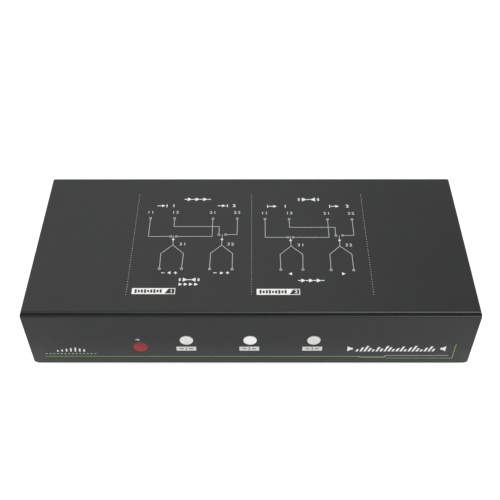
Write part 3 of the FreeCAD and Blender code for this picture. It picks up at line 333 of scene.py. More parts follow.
# Enamelled copper wire, wound in 0.2 mm turns, drawn at 0.4 mm to show: reddish ribs
woundCopper = makeFinish("woundEnamelledCopper", {
    "colours": ("#8a3d1c", "#a8552b"), "drift": 2.0, "pattern": "wound", "grain": 0.4,
    "rough": (0.24, 0.4), "relief": 0.5, "depth": 0.08,
    "shader": {"Metallic": 0.85, "Coat Weight": 0.4, "Coat Roughness": 0.15}})
# Green solder mask over glass-epoxy laminate: glossy, with the 0.5 mm cloth just telegraphing through
solderMask = makeFinish("solderMaskedLaminate", {
    "colours": ("#0f5230", "#176a3e"), "drift": 7.0, "pattern": "cells", "grain": 0.5, "rough": (0.22, 0.34),
    "depth": 0.02, "shader": {"Coat Weight": 0.3, "Coat Roughness": 0.12}})
# Glass-filled black nylon, moulded matt: dusty sheen with faint flow marks
blackNylon = makeFinish("blackGlassNylon", {
    "colours": ("#1c1c1e", "#27272a"), "grain": 0.5, "rough": (0.46, 0.62), "relief": 0.15,
    "depth": 0.02})
# Unfilled nylon in its own colour, moulded: waxy ivory that light enters a little
naturalNylon = makeFinish("naturalNylon", {
    "colours": ("#ddd8c6", "#e8e3d3"), "drift": 3.0, "grain": 0.6, "rough": (0.4, 0.55),
    "depth": 0.02, "shader": {"Subsurface Weight": 0.15, "Subsurface Scale": 0.001}})
# Blue polyester, moulded in a polished mould: even satin blue
bluePolyester = makeFinish("blueMouldedPolyester", {
    "colours": ("#15345f", "#1b4072"), "drift": 5.0, "grain": 0.8, "rough": (0.3, 0.42), "relief": 0.08,
    "depth": 0.02})
# Epoxy moulding compound on chips: matt charcoal with silica specks
moldedEpoxy = makeFinish("silicaFilledEpoxy", {
    "colours": ("#202022", "#303033"), "drift": 1.0, "grain": 0.2, "fleck": 0.7, "rough": (0.5, 0.68),
    "relief": 0.2})
# Shrunk PVC sleeve on the capacitors: dark blue, tight and shiny
shrunkSleeve = makeFinish("shrunkSleeve", {
    "colours": ("#141c38", "#1c2747"), "grain": 1.2, "drawn": (1.0, 1.0, 0.2),
    "rough": (0.2, 0.3), "depth": 0.03})
# Grey PVC ribbon in 1.27 mm cores: ribbed across, matt
ribbonPvc = makeFinish("ribbedPvcRibbon", {
    "colours": ("#9c9c9a", "#adadaa"), "drift": 5.0, "pattern": "wound", "along": "X", "grain": 1.27,
    "rough": (0.42, 0.54), "relief": 0.6, "depth": 0.3})
# Yellow phosphor in silicone on the lamp chips: waxy pale yellow
lampPhosphor = makeFinish("phosphorSilicone", {
    "colours": ("#e6dd9a", "#efe7b0"), "drift": 0.8, "grain": 0.2, "rough": (0.3, 0.42)})
# Natural-rubber compound, pressed: deep black, matt, dusty
pressedRubber = makeFinish("pressedRubber", {
    "colours": ("#1a1a1a", "#262626"), "drift": 3.0, "grain": 0.6, "rough": (0.68, 0.85), "relief": 0.25,
    "depth": 0.04, "shader": {"Specular IOR Level": 0.3}})
print("finishes made:", len(bpy.data.materials))


# Case

def makeCover():
    # one sheet folded down at both sides; its cut faces look forward or back, or lie along the hem
    cover = {"fold": 1.6, "foldSteps": 7, "frontEdge": 0.5, "frontSteps": 5, "edge": 0.12,
             "cut": 0.85, "hem": 0.1}
    top, size = case["top"], coverHigh - coverLow
    sheet = slab("coverSheet", (0, coverMiddle.y, (top + coverLow.z) / 2), (size.x, size.y, top - coverLow.z))
    openUp(sheet)
    pick(sheet, "FACE", lambda face, middle: abs(face.normal.y) > facing or face.normal.z < -facing)
    bpy.ops.mesh.delete(type="FACE")
    pick(sheet, "EDGE", lambda edge, middle: middle.z > top - near and abs(middle.x) > coverHigh.x - near)
    bpy.ops.mesh.bevel(offset=cover["fold"] * mm, segments=cover["foldSteps"], affect="EDGES")
    modify(sheet, "SOLIDIFY", thickness=case["sheet"] * mm, offset=-1)
    openUp(sheet)
    pick(sheet, "EDGE", lambda edge, middle: middle.z > top - near and abs(middle.y - coverLow.y) < near)
    bpy.ops.mesh.bevel(offset=cover["frontEdge"] * mm, segments=cover["frontSteps"], affect="EDGES")
    soften(sheet, cover["edge"], angle=50)
    dress(sheet, powderCoat, "case", "top_cover")
    # the cut faces and the hem get the paler coat, a painted highlight along the edges
    sheet.data.materials.append(paintedHighlightCoat)
    for face in sheet.data.polygons:
        if abs(face.normal.y) > cover["cut"] or face.center.z / mm < coverLow.z + cover["hem"]:
            face.material_index = 1


def makeTray():
    tray = {"edge": 0.16}  # what tumbling and the coat leave of the cut edges
    folded = fromNode("foldedTray", "base_tray", tray["edge"])
    dress(folded, powderCoat, "case", "base_tray")


def screwHead(name, head):
    # a turned head with a cross that narrows as it goes down; its seat is at 0, its head towards +Z
    shank, wide, high = head["shank"] / 2, head["width"] / 2, head["height"]
    rings = [(shank, -head["stub"]), (shank, 0), (wide, 0), (wide, high * 0.4), (wide - 0.35, high * 0.78),
             (wide - 1.0, high * 0.96), (wide - 1.7, high)]
    screw = turned(name, rings, head["sides"])
    soften(screw, head["edge"])
    for angle in (0, 90):
        size = (head["cross"], head["slot"], head["sink"] + 2 * head["over"])
        cutter = slab("cutter", (0, 0, high - head["sink"] / 2 + head["over"]), size)
        openUp(cutter)
        pick(cutter, "FACE", lambda face, middle: face.normal.z < -facing)
        bpy.ops.transform.resize(value=head["narrow"], center_override=(0, 0, 0))
        settle(cutter, turn=(0, 0, angle))
        modify(screw, "BOOLEAN", object=cutter, operation="DIFFERENCE", solver="EXACT")
        discard(cutter)
    return screw


def makeCoverScrews():
    screw = {"width": 5.6, "height": 1.85, "shank": 3.0, "stub": 0.6, "edge": 0.12,
             "cross": 3.1, "slot": 0.62, "sink": 1.0, "over": 0.1, "narrow": (0.45, 0.7, 1), "sides": 32}
    low, high, middle = boxOf("cover_screws")
    head = screwHead("coverScrew", screw)
    for side, x, turn in (("Left", coverLow.x, -90), ("Right", coverHigh.x, 90)):
        for end, y in (("Front", low.y + screw["width"] / 2), ("Rear", high.y - screw["width"] / 2)):
            twin = copyTo(head, f"coverScrew{end}{side}", (x, y, middle.z), (0, turn, 0))
            dress(twin, blackOxide, "case", "cover_screws")
    discard(head)


def makeFeet():
    foot = {"low": 6.5, "top": 7.5, "height": 3.5, "hole": 1.6, "recess": 3.75, "recessDepth": 2.2,
            "lowEdge": 0.5, "topEdge": 0.4, "edge": 0.2, "sides": 48}
    low, high = boxOf("rubber_feet")[:2]
    wide, hole, recess = foot["top"], foot["hole"], foot["recess"]
    top, depth = foot["height"], foot["recessDepth"]
    rings = [(recess, 0), (foot["low"] - foot["lowEdge"], 0), (foot["low"], foot["lowEdge"]),
             (wide, top - foot["topEdge"]), (wide, top), (hole, top), (hole, depth), (recess, depth),
             (recess, 0)]
    rubber = turned("rubberFoot", rings, foot["sides"], hollow=True)
    soften(rubber, foot["edge"])
    for side, x in (("Left", low.x + wide), ("Right", high.x - wide)):
        for end, y in (("Front", low.y + wide), ("Rear", high.y - wide)):
            dress(copyTo(rubber, f"rubberFoot{end}{side}", (x, y, 0)), pressedRubber, "case", "rubber_feet")
    discard(rubber)


makeCover()
makeTray()
makeCoverScrews()
makeFeet()
print("case made")


# Front controls

def makeButtons():
    # a stem, a flange that stays behind the panel, and a cap with a low crown
    button = {"radius": 3.6, "proud": 0.5, "edge": 0.3, "crown": 0.05, "flangeLow": 1.4, "flange": 4.8,
              "flangeHigh": 2.4, "stem": 2.2, "stemEnd": 9.0, "soft": 0.06, "sides": 64}
    stem, flange, radius = button["stem"], button["flange"], button["radius"]
    edge, face, crown = button["edge"], -button["proud"], button["crown"]
    rings = [(stem, button["stemEnd"]), (stem, button["flangeHigh"]), (flange, button["flangeHigh"]),
             (flange, button["flangeLow"]), (radius, button["flangeLow"]), (radius, face + edge),
             (radius - 0.09, face + crown + 0.1), (radius - edge, face + crown),
             (radius * 0.6, face + crown * 0.35), (radius * 0.25, face)]
    cap = turned("buttonCap", rings, button["sides"])
    soften(cap, button["soft"], angle=50)
    for name, spot in buttonSpots.items():
        twin = copyTo(cap, f"button{name.title()}", (spot.x, case["front"], spot.z), (-90, 0, 0))
        finish = opalAcrylicLit if name == "middle" else opalAcrylic
        dress(twin, finish, f"button_{name}_body", f"button_{name}")
    discard(cap)


def makeWindow():
    # a flush lens with a rounded rim, held by a flange behind the panel
    lens = {"radius": 4.1, "rim": 0.25, "sink": 0.02, "flange": 5.0, "panel": 1.2, "back": 2.2, "soft": 0.05,
            "sides": 64}
    flange, radius, rim, sink = lens["flange"], lens["radius"], lens["rim"], lens["sink"]
    rings = [(flange, lens["back"]), (flange, lens["panel"]), (radius, lens["panel"]), (radius, rim),
             (radius - 0.07, 0.09), (radius - rim, sink), (radius * 0.5, sink + 0.01)]
    glass = turned("receiverWindow", rings, lens["sides"])
    soften(glass, lens["soft"], angle=50)
    settle(glass, (windowSpot.x, case["front"], windowSpot.z), (-90, 0, 0))
    dress(glass, redPolycarbonate, "case", "ir_window")


makeButtons()
makeWindow()
print("front controls made")


# Binding posts: modelled along +Z from the rear panel's outer face, then laid along +Y

def makePostCap():
    # a fluted barrel with a plain collar, open through its end for a plug
    cap = {"radius": 5.7, "bore": 3.05, "start": 5.3, "length": 15.5, "collar": 2.6, "hole": 2.6, "wall": 1.4,
           "edge": 0.8, "soft": 0.12, "flutes": 14, "perFlute": 6, "depth": 0.55, "flank": 0.6}
    bore, radius, hole, edge = cap["bore"], cap["radius"], cap["hole"], cap["edge"]
    end = cap["start"] + cap["length"]
    fluteStart = cap["start"] + cap["collar"]
    rings = [(bore, cap["start"]), (radius, cap["start"]), (radius, fluteStart - 0.5), (radius, fluteStart),
             (radius, fluteStart + 0.45), (radius, end - edge - 0.3), (radius - 0.12, end - edge * 0.55),
             (radius - edge * 0.5, end - edge * 0.16), (radius - edge, end), (hole + 0.5, end),
             (hole, end - 0.35), (hole, end - cap["wall"]), (bore, end - cap["wall"]), (bore, cap["start"])]
    barrel = turned("postCap", rings, cap["flutes"] * cap["perFlute"], hollow=True)
    openUp(barrel)
    step = 360 / cap["perFlute"] / cap["flutes"]
    for columns, share in (((0,), 1.0), ((1, cap["perFlute"] - 1), cap["flank"])):  # middles, then flanks
        def inFlute(vertex, middle):
            column = round(degrees(atan2(middle.y, middle.x)) / step) % cap["perFlute"]
            return column in columns and middle.xy.length > radius - 0.45 and middle.z > fluteStart + 0.2
        pick(barrel, "VERT", inFlute)
        shrink = 1 - cap["depth"] * share / radius
        bpy.ops.transform.resize(value=(shrink, shrink, 1), center_override=(0, 0, 0))
    soften(barrel, cap["soft"], angle=28)
    return barrel


def makePostBase():
    # an insulating disc on a boss that sits in the panel's hole, with a groove round the stud's seat
    base = {"bore": 2.1, "boss": 3.9, "bossDepth": 1.0, "radius": 6.5, "height": 4.0, "edge": 0.5, "lip": 4.9,
            "groove": 0.25, "soft": 0.12, "sides": 56}
    bore, boss, radius, lip = base["bore"], base["boss"], base["radius"], base["lip"]
    foot, top, floor = -base["bossDepth"], base["height"], base["height"] - base["groove"]
    rings = [(bore, foot), (boss, foot), (boss, 0), (radius, 0), (radius, top - base["edge"]),
             (radius - 0.15, top - 0.15), (radius - base["edge"], top), (lip, top), (lip - 0.1, floor),
             (lip - 0.5, floor), (lip - 0.6, top), (bore, top), (bore, foot)]
    disc = turned("postBase", rings, base["sides"], hollow=True)
    soften(disc, base["soft"])
    return disc


def makePostStud():
    # flange, threaded barrel with a socket for a plug, and a cross hole for bare wire
    stud = {"shank": 2.0, "shankEnd": -11.0, "seat": 4.0, "flange": 4.5, "flangeTop": 5.0, "barrel": 3.0,
            "tip": 19.0, "socket": 2.0, "socketDepth": 14.4, "pitch": 0.7, "thread": 0.22, "wireHole": 1.3,
            "wireHeight": 6.9, "smooth": 24, "sides": 32, "drill": 5, "drillSides": 24}
    crest, root, socket = stud["barrel"], stud["barrel"] - stud["thread"], stud["socket"]
    tip, floor, pitch = stud["tip"], stud["tip"] - stud["socketDepth"], stud["pitch"]
    rings = [(stud["shank"], stud["shankEnd"]), (stud["shank"], stud["seat"]), (stud["flange"], stud["seat"]),
             (stud["flange"], stud["flangeTop"]), (root, stud["flangeTop"])]
    height = stud["flangeTop"] + 0.3
    while height + pitch < tip - 0.5:  # one ring of thread at a time
        rings += [(root, height), (crest, height + pitch * 0.45), (crest, height + pitch * 0.6)]
        height += pitch
    rings += [(root, height), (root, tip - 0.2), (crest - 0.4, tip), (socket + 0.25, tip),
              (socket, tip - 0.25), (socket, floor), (0.4, floor - 0.6)]
    pillar = turned("postStud", rings, stud["sides"])
    ends = [(stud["wireHole"], -stud["drill"]), (stud["wireHole"], stud["drill"])]
    drill = turned("wireDrill", ends, stud["drillSides"])
    settle(drill, (0, 0, stud["wireHeight"]), (90, 0, 90))
    modify(pillar, "BOOLEAN", object=drill, operation="DIFFERENCE", solver="EXACT")
    discard(drill)
    openUp(pillar)
    bpy.ops.mesh.select_all(action="SELECT")
    bpy.ops.mesh.dissolve_degenerate(threshold=sliver * mm)
    closeUp()
    hold(pillar)
    bpy.ops.object.shade_smooth_by_angle(angle=radians(stud["smooth"]))
    return pillar


def makePosts():
    cap, base, stud = makePostCap(), makePostBase(), makePostStud()
    for number, middle in enumerate(postSpots, 1):
        colour, finish = ("black", blackMoulding) if number % 2 else ("red", redMoulding)
        for pattern, name, look, body, node in (
                (cap, "postCap", finish, f"cap_{number:02d}_body", f"post_cap_{number:02d}"),
                (base, "postBase", finish, "case", f"post_bases_{colour}"),
                (stud, "postStud", goldFlash, "case", "post_studs")):
            twin = copyTo(pattern, f"{name}{number:02d}", (middle.x, case["rear"], middle.z), (-90, 0, 0))
            dress(twin, look, body, node)
    for pattern in (cap, base, stud):
        discard(pattern)


makePosts()
print("binding posts made")


# Power inlet

def makeInlet():
    socket = {"edge": 0.12}
    dress(fromNode("powerSocket", "power_jack", socket["edge"]), blackNylon, "case", "power_jack")
    dress(fromNode("powerSocketPin", "power_jack_pin", socket["edge"]), nickelPlate, "case", "power_jack_pin")


makeInlet()
print("power inlet made")


# Printing: flat ink shapes are drawn in mm on X and Y, then laid on a face of the case

# A film's thickness, its middle's height over the coat, and its lift where films meet, cross or overlie
ink = {"thick": 0.05, "rise": 0.015, "meet": 0.002, "cross": 0.003, "over": 0.012, "doubles": 0.0005}
faces = {
    "top": {"place": (0, case["front"], case["top"]), "turn": (0, 0, 0)},
    "front": {"place": (0, case["front"], case["underside"]), "turn": (90, 0, 0)},
    "rear": {"place": (0, case["rear"], case["underside"]), "turn": (90, 0, 180)},
}


def block(x, y, width, height):  # a rectangle from its first corner
    return [(x, y), (x + width, y), (x + width, y + height), (x, y + height)]


def moved(points, centre, size=1.0, flip=1):  # points drawn round 0, set at their place
    return [(centre[0] + flip * size * x, centre[1] + size * y) for x, y in points]


def arc(centre, radius, start=0.0, finish=360.0, steps=20):
    closed = finish - start >= 360
    count = steps if closed else steps + 1
    angles = [radians(start + (finish - start) * step / steps) for step in range(count)]
    return [(centre[0] + radius * cos(angle), centre[1] + radius * sin(angle)) for angle in angles]


def stroke(points, width):
    # the outline of a line of that width, its corners mitred and the sharpest ones cut short
    sharpest = 0.35
    spots = [Vector(point) for point in points]
    left, right = [], []
    for index, here in enumerate(spots):
        before = (here - spots[index - 1]).normalized() if index else None
        after = (spots[index + 1] - here).normalized() if index + 1 < len(spots) else None
        along = ((before or after) + (after or before)).normalized()
        across = Vector((-along.y, along.x))
        edge = Vector((-(after or before).y, (after or before).x))
        reach = width / 2 / max(across.dot(edge), sharpest)
        left.append(tuple(here + across * reach))
        right.append(tuple(here - across * reach))
    return left + right[::-1]


def inkShape(*loops, lift=0.0):  # closed outlines, filled between one another
    drawing = bpy.data.curves.new("ink", "CURVE")
    drawing.dimensions = "2D"
    drawing.fill_mode = "BOTH"
    drawing.extrude = ink["thick"] / 2 * mm
    for loop in loops:
        line = drawing.splines.new("POLY")
        line.points.add(len(loop) - 1)
        for point, (x, y) in zip(line.points, loop):
            point.co = (x * mm, y * mm, 0, 1)
        line.use_cyclic_u = True
    piece = bpy.data.objects.new("ink", drawing)
    bpy.context.collection.objects.link(piece)
    hold(piece)
    bpy.ops.object.convert(target="MESH")
    return settle(bpy.context.object, (0, 0, ink["rise"] + lift))


def inkLine(points, width, lift=0.0):
    return inkShape(stroke(points, width), lift=lift)


def inkText(words, centre, height, weight=0.0, spacing=1.0, stretch=1.0, lift=0.0):
    # height is that of a figure, weight thickens its strokes, both in mm
    font = {"figure": 0.7, "steps": 3}  # a figure's share of the font's size, and the steps of each curve
    deselect()
    bpy.ops.object.text_add()
    piece = bpy.context.object
    text = piece.data
    text.body = words
    text.size = height / font["figure"] * mm
    text.align_x = "CENTER"
    text.align_y = "CENTER"
    text.offset = weight * mm
    text.space_character = spacing
    text.resolution_u = font["steps"]
    text.extrude = ink["thick"] / 2 * mm
    bpy.ops.object.convert(target="MESH")
    piece = bpy.context.object
    piece.scale = (stretch, 1, 1)
    return settle(piece, (*centre, ink["rise"] + lift))


def dotRow(start, finish, pitch, radius):  # one dot, repeated by an array
    dot = inkShape(arc(start, radius, steps=10))
    run = Vector(finish) - Vector(start)
    count = int(run.length / pitch) + 1
    step = run / (count - 1) * mm
    modify(dot, "ARRAY", count=count, use_relative_offset=False, use_constant_offset=True,
           constant_offset_displace=(step.x, step.y, 0))
    return dot


def loudspeaker(centre, size, flip=1):  # a small driver with its horn
    outline = ((-0.9, 0.38), (-0.45, 0.38), (0.3, 0.95), (0.3, -0.95), (-0.45, -0.38), (-0.9, -0.38))
    return inkShape(moved(outline, centre, size, flip))


def printOn(name, face, finish, shapes):
    hold(*shapes)
    bpy.ops.object.join()
    film = bpy.context.object
    film.name = name
    openUp(film)
    closeUp(ink["doubles"])
    settle(film, faces[face]["place"], faces[face]["turn"])
    dress(film, finish, "case")


wiring = {"line": 0.23, "ring": 0.74, "ringHole": 0.49, "dot": 0.72, "overlap": 0.05}


def terminal(spot):
    return inkShape(arc(spot, wiring["ring"]), arc(spot, wiring["ringHole"], steps=12))


def wire(*points, lift=0.0):
    return inkLine(points, wiring["line"], lift)


def changeover(blade, dot, fork, leftKnee, rightKnee, left, right):
    # a moving contact over a forked line to two terminals
    ring, reach = wiring["ring"] - wiring["overlap"], wiring["dot"] - wiring["overlap"]
    leftEnd, rightEnd = ((x, y + ring) for x, y in (left, right))
    return [
        inkShape(arc(dot, wiring["dot"], steps=16)),
        wire(blade, (dot[0], dot[1] + reach), lift=ink["meet"]),
        wire((dot[0], dot[1] - reach), (fork[0], fork[1] + 0.2), lift=ink["meet"]),
        wire(leftEnd, leftKnee, fork, rightKnee, rightEnd, lift=-ink["meet"]),
        terminal(left), terminal(right),
    ]


def wiringDiagram(*shift):
    # two sources above, crossed wires to two changeovers, four terminals below
    def at(x, y):
        return (x + shift[0], y + shift[1])
    ring = wiring["ring"] - wiring["overlap"]
    tops = [(-57.85, 70.6), (-43.95, 70.5), (-21.9, 70.3), (-7.77, 70.3)]
    inner = [(-45.16, 55.95), (-42.17, 55.95), (-18.04, 57.35), (-14.25, 57.48)]
    levels = (55.95, 63.87, 55.95, 57.48)
    shapes = [terminal(at(*spot)) for spot in tops + inner]
    for index, (end, side) in enumerate(((inner[0], -1), (inner[2], 0), (inner[1], 1), (inner[3], 1))):
        (x, y), level = tops[index], levels[index]
        points = [at(x, y - ring), at(x, level)]
        if side:
            points.append(at(end[0] + side * ring, end[1]))
        else:
            points += [at(end[0], level), at(end[0], end[1] + ring)]
        shapes.append(wire(*points, lift=ink["cross"] * (index == 2)))
    for spots in (  # blade, dot and fork, then the two knees and the two ends
            ((-43.87, 56.8), (-43.67, 53.6), (-43.57, 49.3),
             (-49.8, 42.87), (-37.28, 42.87), (-49.75, 31.6), (-37.68, 31.6)),
            ((-16.09, 57.4), (-16.24, 53.6), (-16.34, 49.2),
             (-22.32, 42.95), (-10.16, 42.95), (-22.42, 31.4), (-10.15, 31.2))):
        shapes += changeover(*(at(*spot) for spot in spots))
    for words, x, y in (("11", -58.12, 75.4), ("12", -43.72, 75.4), ("21", -22.03, 75.2), ("22", -7.97, 75.2),
                        ("31", -38.08, 49.95), ("32", -11.35, 49.9)):
        shapes.append(inkText(words, at(x, y), 2.0, weight=0.01, spacing=1.25, stretch=1.25))
    return shapes


def sourceMark(centre, number, outward):
    # an arrow into or out of a bar, and the number of the pair
    arrow = ((-5.4, -0.24), (-2.8, -0.24), (-2.8, -1.05), (-0.7, 0), (-2.8, 1.05), (-2.8, 0.24), (-5.4, 0.24))
    side = -6.1 if outward else 0.2
    bar = moved(((side, -1.1), (side, 1.1)), centre)
    figure = inkText(number, (centre[0] + 4.2, centre[1]), 2.2, weight=0.05, stretch=1.25)
    return [inkShape(moved(arrow, centre)), inkLine(bar, 0.55), figure]


def amplifierRow(centre, size):  # amplifier triangles on one line, which comes in before the first of them
    row = {"count": 3, "pitch": 2.6, "triangle": ((-0.75, -0.8), (0.75, 0), (-0.75, 0.8)),
           "link": ((0.78, 0), (1.82, 0)), "line": 0.5}
    x, y = centre
    shapes = []
    for index in range(-1, row["count"]):
        spot = (x + size * row["pitch"] * (index - (row["count"] - 1) / 2), y)
        if index >= 0:
            shapes.append(inkShape(moved(row["triangle"], spot, size)))
        shapes.append(inkLine(moved(row["link"], spot, size), row["line"], ink["meet"]))
    return shapes


def speakerRow(centre, size):  # two drivers that face apart, each with two waves of sound
    row = {"driver": 1.9, "sound": 2.5425, "waves": (0.5225, 0.95), "half": 48, "thin": 0.42,
           "link": ((-0.85, 0), (0.85, 0)), "line": 0.5}
    x, y = centre
    shapes = []
    for flip, aim in ((-1, 180), (1, 0)):
        shapes.append(loudspeaker((x + flip * size * row["driver"], y), size, flip))
        source = (x + flip * size * row["sound"], y)
        for radius in row["waves"]:
            wave = arc(source, size * radius, aim - row["half"], aim + row["half"], 8)
            shapes.append(inkLine(wave, row["thin"]))
    shapes.append(inkLine(moved(row["link"], centre, size), row["line"]))
    return shapes


def pointer(centre, direction):  # a small triangle to the channel's side
    return inkShape(moved(((-0.9, -1.0), (0.9, 0), (-0.9, 1.0)), centre, flip=direction))


def sign(centre, plus=False):
    bars = {"across": ((-0.9, 0), (0.9, 0)), "up": ((0, -0.95), (0, 0.95)), "line": 0.46}
    shapes = [inkLine(moved(bars["across"], centre), bars["line"])]
    if plus:
        shapes.append(inkLine(moved(bars["up"], centre), bars["line"], ink["cross"]))
    return shapes


def numberPlate(corner, number):
    # a white plate with plain bars in it and a dark field for the number, whose left end is slanted
    plate = {"length": 23.0, "height": 4.1, "number": 20.9,
             "field": ((17.4, 0.42), (22.58, 0.42), (22.58, 3.68), (19.4, 3.68)),
             "bars": (1.3, 0.9, 1.1, 1.3, 0.8, 1.1, 1.3, 0.9, 1.2), "start": 1.5, "pitch": 1.66, "bar": 1.1}
    middle = plate["height"] / 2
    loops = [block(0, 0, plate["length"], plate["height"]), plate["field"]]
    for index, half in enumerate(plate["bars"]):
        loops.append(block(plate["start"] + index * plate["pitch"], middle - half, plate["bar"], 2 * half))
    spot = (corner[0] + plate["number"], corner[1] + middle)
    return [inkShape(*(moved(loop, corner) for loop in loops)),
            inkText(number, spot, 2.1, weight=0.04, stretch=1.2)]


def printTop():
    dots = {"across": (-65.96, 0.38, 65.0), "ends": (13.6, 90.4), "pitch": 1.745, "radius": 0.17}
    diagrams = ((0, 0.08), (66.0, -0.62))
    marks = {"sources": ((-49.3, 81.0, "1", False), (-14.0, 81.0, "2", False),
                         (15.9, 80.55, "1", True), (52.2, 80.55, "2", True)),
             "signs": ((-47.66, False), (-19.43, False), (-40.77, True), (-12.6, True)), "level": 28.7,
             "pointers": ((-44.37, 28.75, -1), (-15.74, 28.6, 1), (21.37, 28.0, -1), (50.29, 28.0, 1)),
             "arrows": (-38.6, -35.8, -33.0, -30.2), "plates": ((-63.1, 13.75, "1"), (3.1, 13.2, "2"))}
    low, high = dots["ends"]
    shapes = [dotRow((x, low), (x, high), dots["pitch"], dots["radius"]) for x in dots["across"]]
    printOn("topDottedLines", "top", whiteInk, shapes)
    shapes = [piece for shift in diagrams for piece in wiringDiagram(*shift)]
    printOn("topWiring", "top", thinWhiteInk, shapes)

    shapes = amplifierRow((-31.4, 86.5), 1.75) + speakerRow((33.95, 86.3), 1.75)
    for x, y, number, outward in marks["sources"]:
        shapes += sourceMark((x, y), number, outward)
    for x, plus in marks["signs"]:
        shapes += sign((x, marks["level"]), plus)
    shapes += [pointer((x, y), direction) for x, y, direction in marks["pointers"]]
    shapes += speakerRow((-33.1, 23.8), 1.55) + amplifierRow((32.44, 23.2), 1.6)
    shapes += [inkShape([(x, 19.5), (x + 2.0, 20.54), (x, 21.6)]) for x in marks["arrows"]]
    for x, y, number in marks["plates"]:
        shapes += numberPlate((x, y), number)
    printOn("topWhitePrint", "top", whiteInk, shapes)


def levelBars(start, finish, foot, width, slant, heights):  # slanted bars of a level meter
    pitch = (finish - start - width) / (len(heights) - 1)
    shapes = []
    for index, height in enumerate(heights):
        lean = slant * height
        bar = ((0, 0), (width, 0), (width + lean, height), (lean, height))
        shapes.append(inkShape(moved(bar, (start + index * pitch, foot))))
    return shapes


def printFront():
    meters = (
        {"start": -105.82, "finish": -90.6, "foot": 11.9, "width": 0.8, "slant": 0.1,
         "heights": (1.3, 1.9, 2.5, 3.1, 3.6, 2.8, 2.1)},
        {"start": 57.0, "finish": 99.6, "foot": 12.1, "width": 1.15, "slant": 0.32,
         "heights": (2.0, 3.6, 5.0, 3.2, 1.8, 4.0, 2.6, 5.0, 3.8, 2.2,
                     3.0, 4.4, 2.0, 3.6, 5.0, 2.8, 1.8, 3.4, 4.6, 2.4)})
    remote = {"spot": (-61.5, 22.7), "dot": 0.38, "waves": (0.85, 1.45), "half": 42, "line": 0.3}
    shapes = [bar for meter in meters for bar in levelBars(**meter)]
    shapes += [loudspeaker((x, 14.6), 2.4, flip) for x, flip in ((53.2, -1), (105.2, 1))]
    shapes.append(inkShape(arc(remote["spot"], remote["dot"], steps=10)))
    for radius in remote["waves"]:
        wave = arc(remote["spot"], radius, -remote["half"], remote["half"], 6)
        shapes.append(inkLine(wave, remote["line"]))
    printOn("frontWhitePrint", "front", whiteInk, shapes)

    dash = {"start": -112.4, "pitch": 2.05, "count": 14, "low": 9.65, "length": 1.05, "height": 0.6}
    green = {"line": ((-112.93, 7.345), (58.79, 7.345), (60.3, 6.6), (73.3, 6.6), (74.4, 8.14),
                      (108.45, 8.14), (108.45, 8.52), (73.98, 8.52), (73.0, 7.15), (60.6, 7.15),
                      (59.2, 7.595), (-112.93, 7.595)),
             "corner": ((73.98, 5.93), (110.85, 5.93), (110.85, 18.64)), "fine": 0.25}
    shapes = []
    for index in range(dash["count"]):
        left = dash["start"] + index * dash["pitch"]
        shapes.append(inkShape(block(left, dash["low"], dash["length"], dash["height"])))
    shapes += [inkShape(green["line"]), inkLine(green["corner"], green["fine"])]
    printOn("frontGreenPrint", "front", greenInk, shapes)

    strip = {"width": 10.7, "height": 3.6, "low": 12.8, "shift": -0.45}
    figure = {"height": 1.9, "weight": 0.04, "stretch": 1.15, "lift": ink["over"]}
    bar = {"start": 1.5, "length": 2.1, "height": 0.7}
    barLoop = block(bar["start"], -bar["height"] / 2, bar["length"], bar["height"])
    shapes, marks = [], []
    for number, spot in enumerate(buttonSpots.values(), 1):
        middle, left = spot.x + strip["shift"], spot.x + strip["shift"] - strip["width"] / 2
        shapes.append(inkShape(block(left, strip["low"], strip["width"], strip["height"])))
        centre = (middle, strip["low"] + strip["height"] / 2)
        marks.append(inkText(str(number), centre, **figure))
        for side in (-1, 1):
            marks.append(inkShape(moved(barLoop, centre, flip=side), lift=ink["over"]))
    printOn("buttonLabels", "front", greyInk, shapes)
    printOn("buttonLabelMarks", "front", darkInk, marks)


def printRear():
    # seen from behind, so +X of the drawing is the case's left
    pair = {"number": 32.5, "figure": 3.2, "signs": 27.0, "line": 0.45,
            "bracket": ((-12.6, 28.6), (-12.6, 29.6), (12.6, 29.6), (12.6, 28.6))}
    supply = {"height": 24.5, "lines": (((-2.2, 0.7), (2.2, 0.7)), ((-2.2, -0.5), (-1.2, -0.5)),
                                        ((-0.5, -0.5), (0.5, -0.5)), ((1.2, -0.5), (2.2, -0.5)))}
    shapes = []
    for number, (black, red) in enumerate(zip(postSpots[::2], postSpots[1::2]), 1):
        minus, plus = -black.x, -red.x
        middle = (minus + plus) / 2
        shapes.append(inkText(str(number), (middle, pair["number"]), pair["figure"], weight=0.05))
        shapes.append(inkLine(moved(pair["bracket"], (middle, 0)), pair["line"]))
        shapes += sign((minus, pair["signs"])) + sign((plus, pair["signs"]), plus=True)
    centre = (-boxOf("power_jack")[2].x, supply["height"])
    shapes += [inkLine(moved(points, centre), pair["line"]) for points in supply["lines"]]
    printOn("rearWhitePrint", "rear", whiteInk, shapes)


printTop()
printFront()
printRear()
print("printing done")


# Finishes of the pieces that keep their CAD shape

inside = {
    zincPlate: ("foot_screws", "board_screws", "front_board_screws"),
    nickelPlate: ("board_standoffs", "front_board_spacers", "post_nuts"),
    solderMask: ("main_board", "front_board"),
    blackNylon: ("button_guide", "plunger_left", "plunger_middle", "plunger_right", "tact_switches",
                 "relay_bases", "post_inner_washers"),
    lampPhosphor: ("button_lamps",),
    moldedEpoxy: ("ir_receiver", "controller_chip", "relay_driver", "voltage_regulator"),
    ribbonPvc: ("ribbon_cable",),
    naturalNylon: ("ribbon_sockets",),
    bluePolyester: ("relay_cases",),
    softIron: ("relay_yokes", "relay_armature_1", "relay_armature_2", "relay_armature_3", "relay_armature_4"),
    woundCopper: ("relay_coils",),
    tinnedStrip: ("relay_contacts", "post_tags"),
    shrunkSleeve: ("capacitors",),
}
for finish, names in inside.items():
    for name in names:
        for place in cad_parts[name].material_slots:
            place.material = finish
print("inside finished")


# Stage

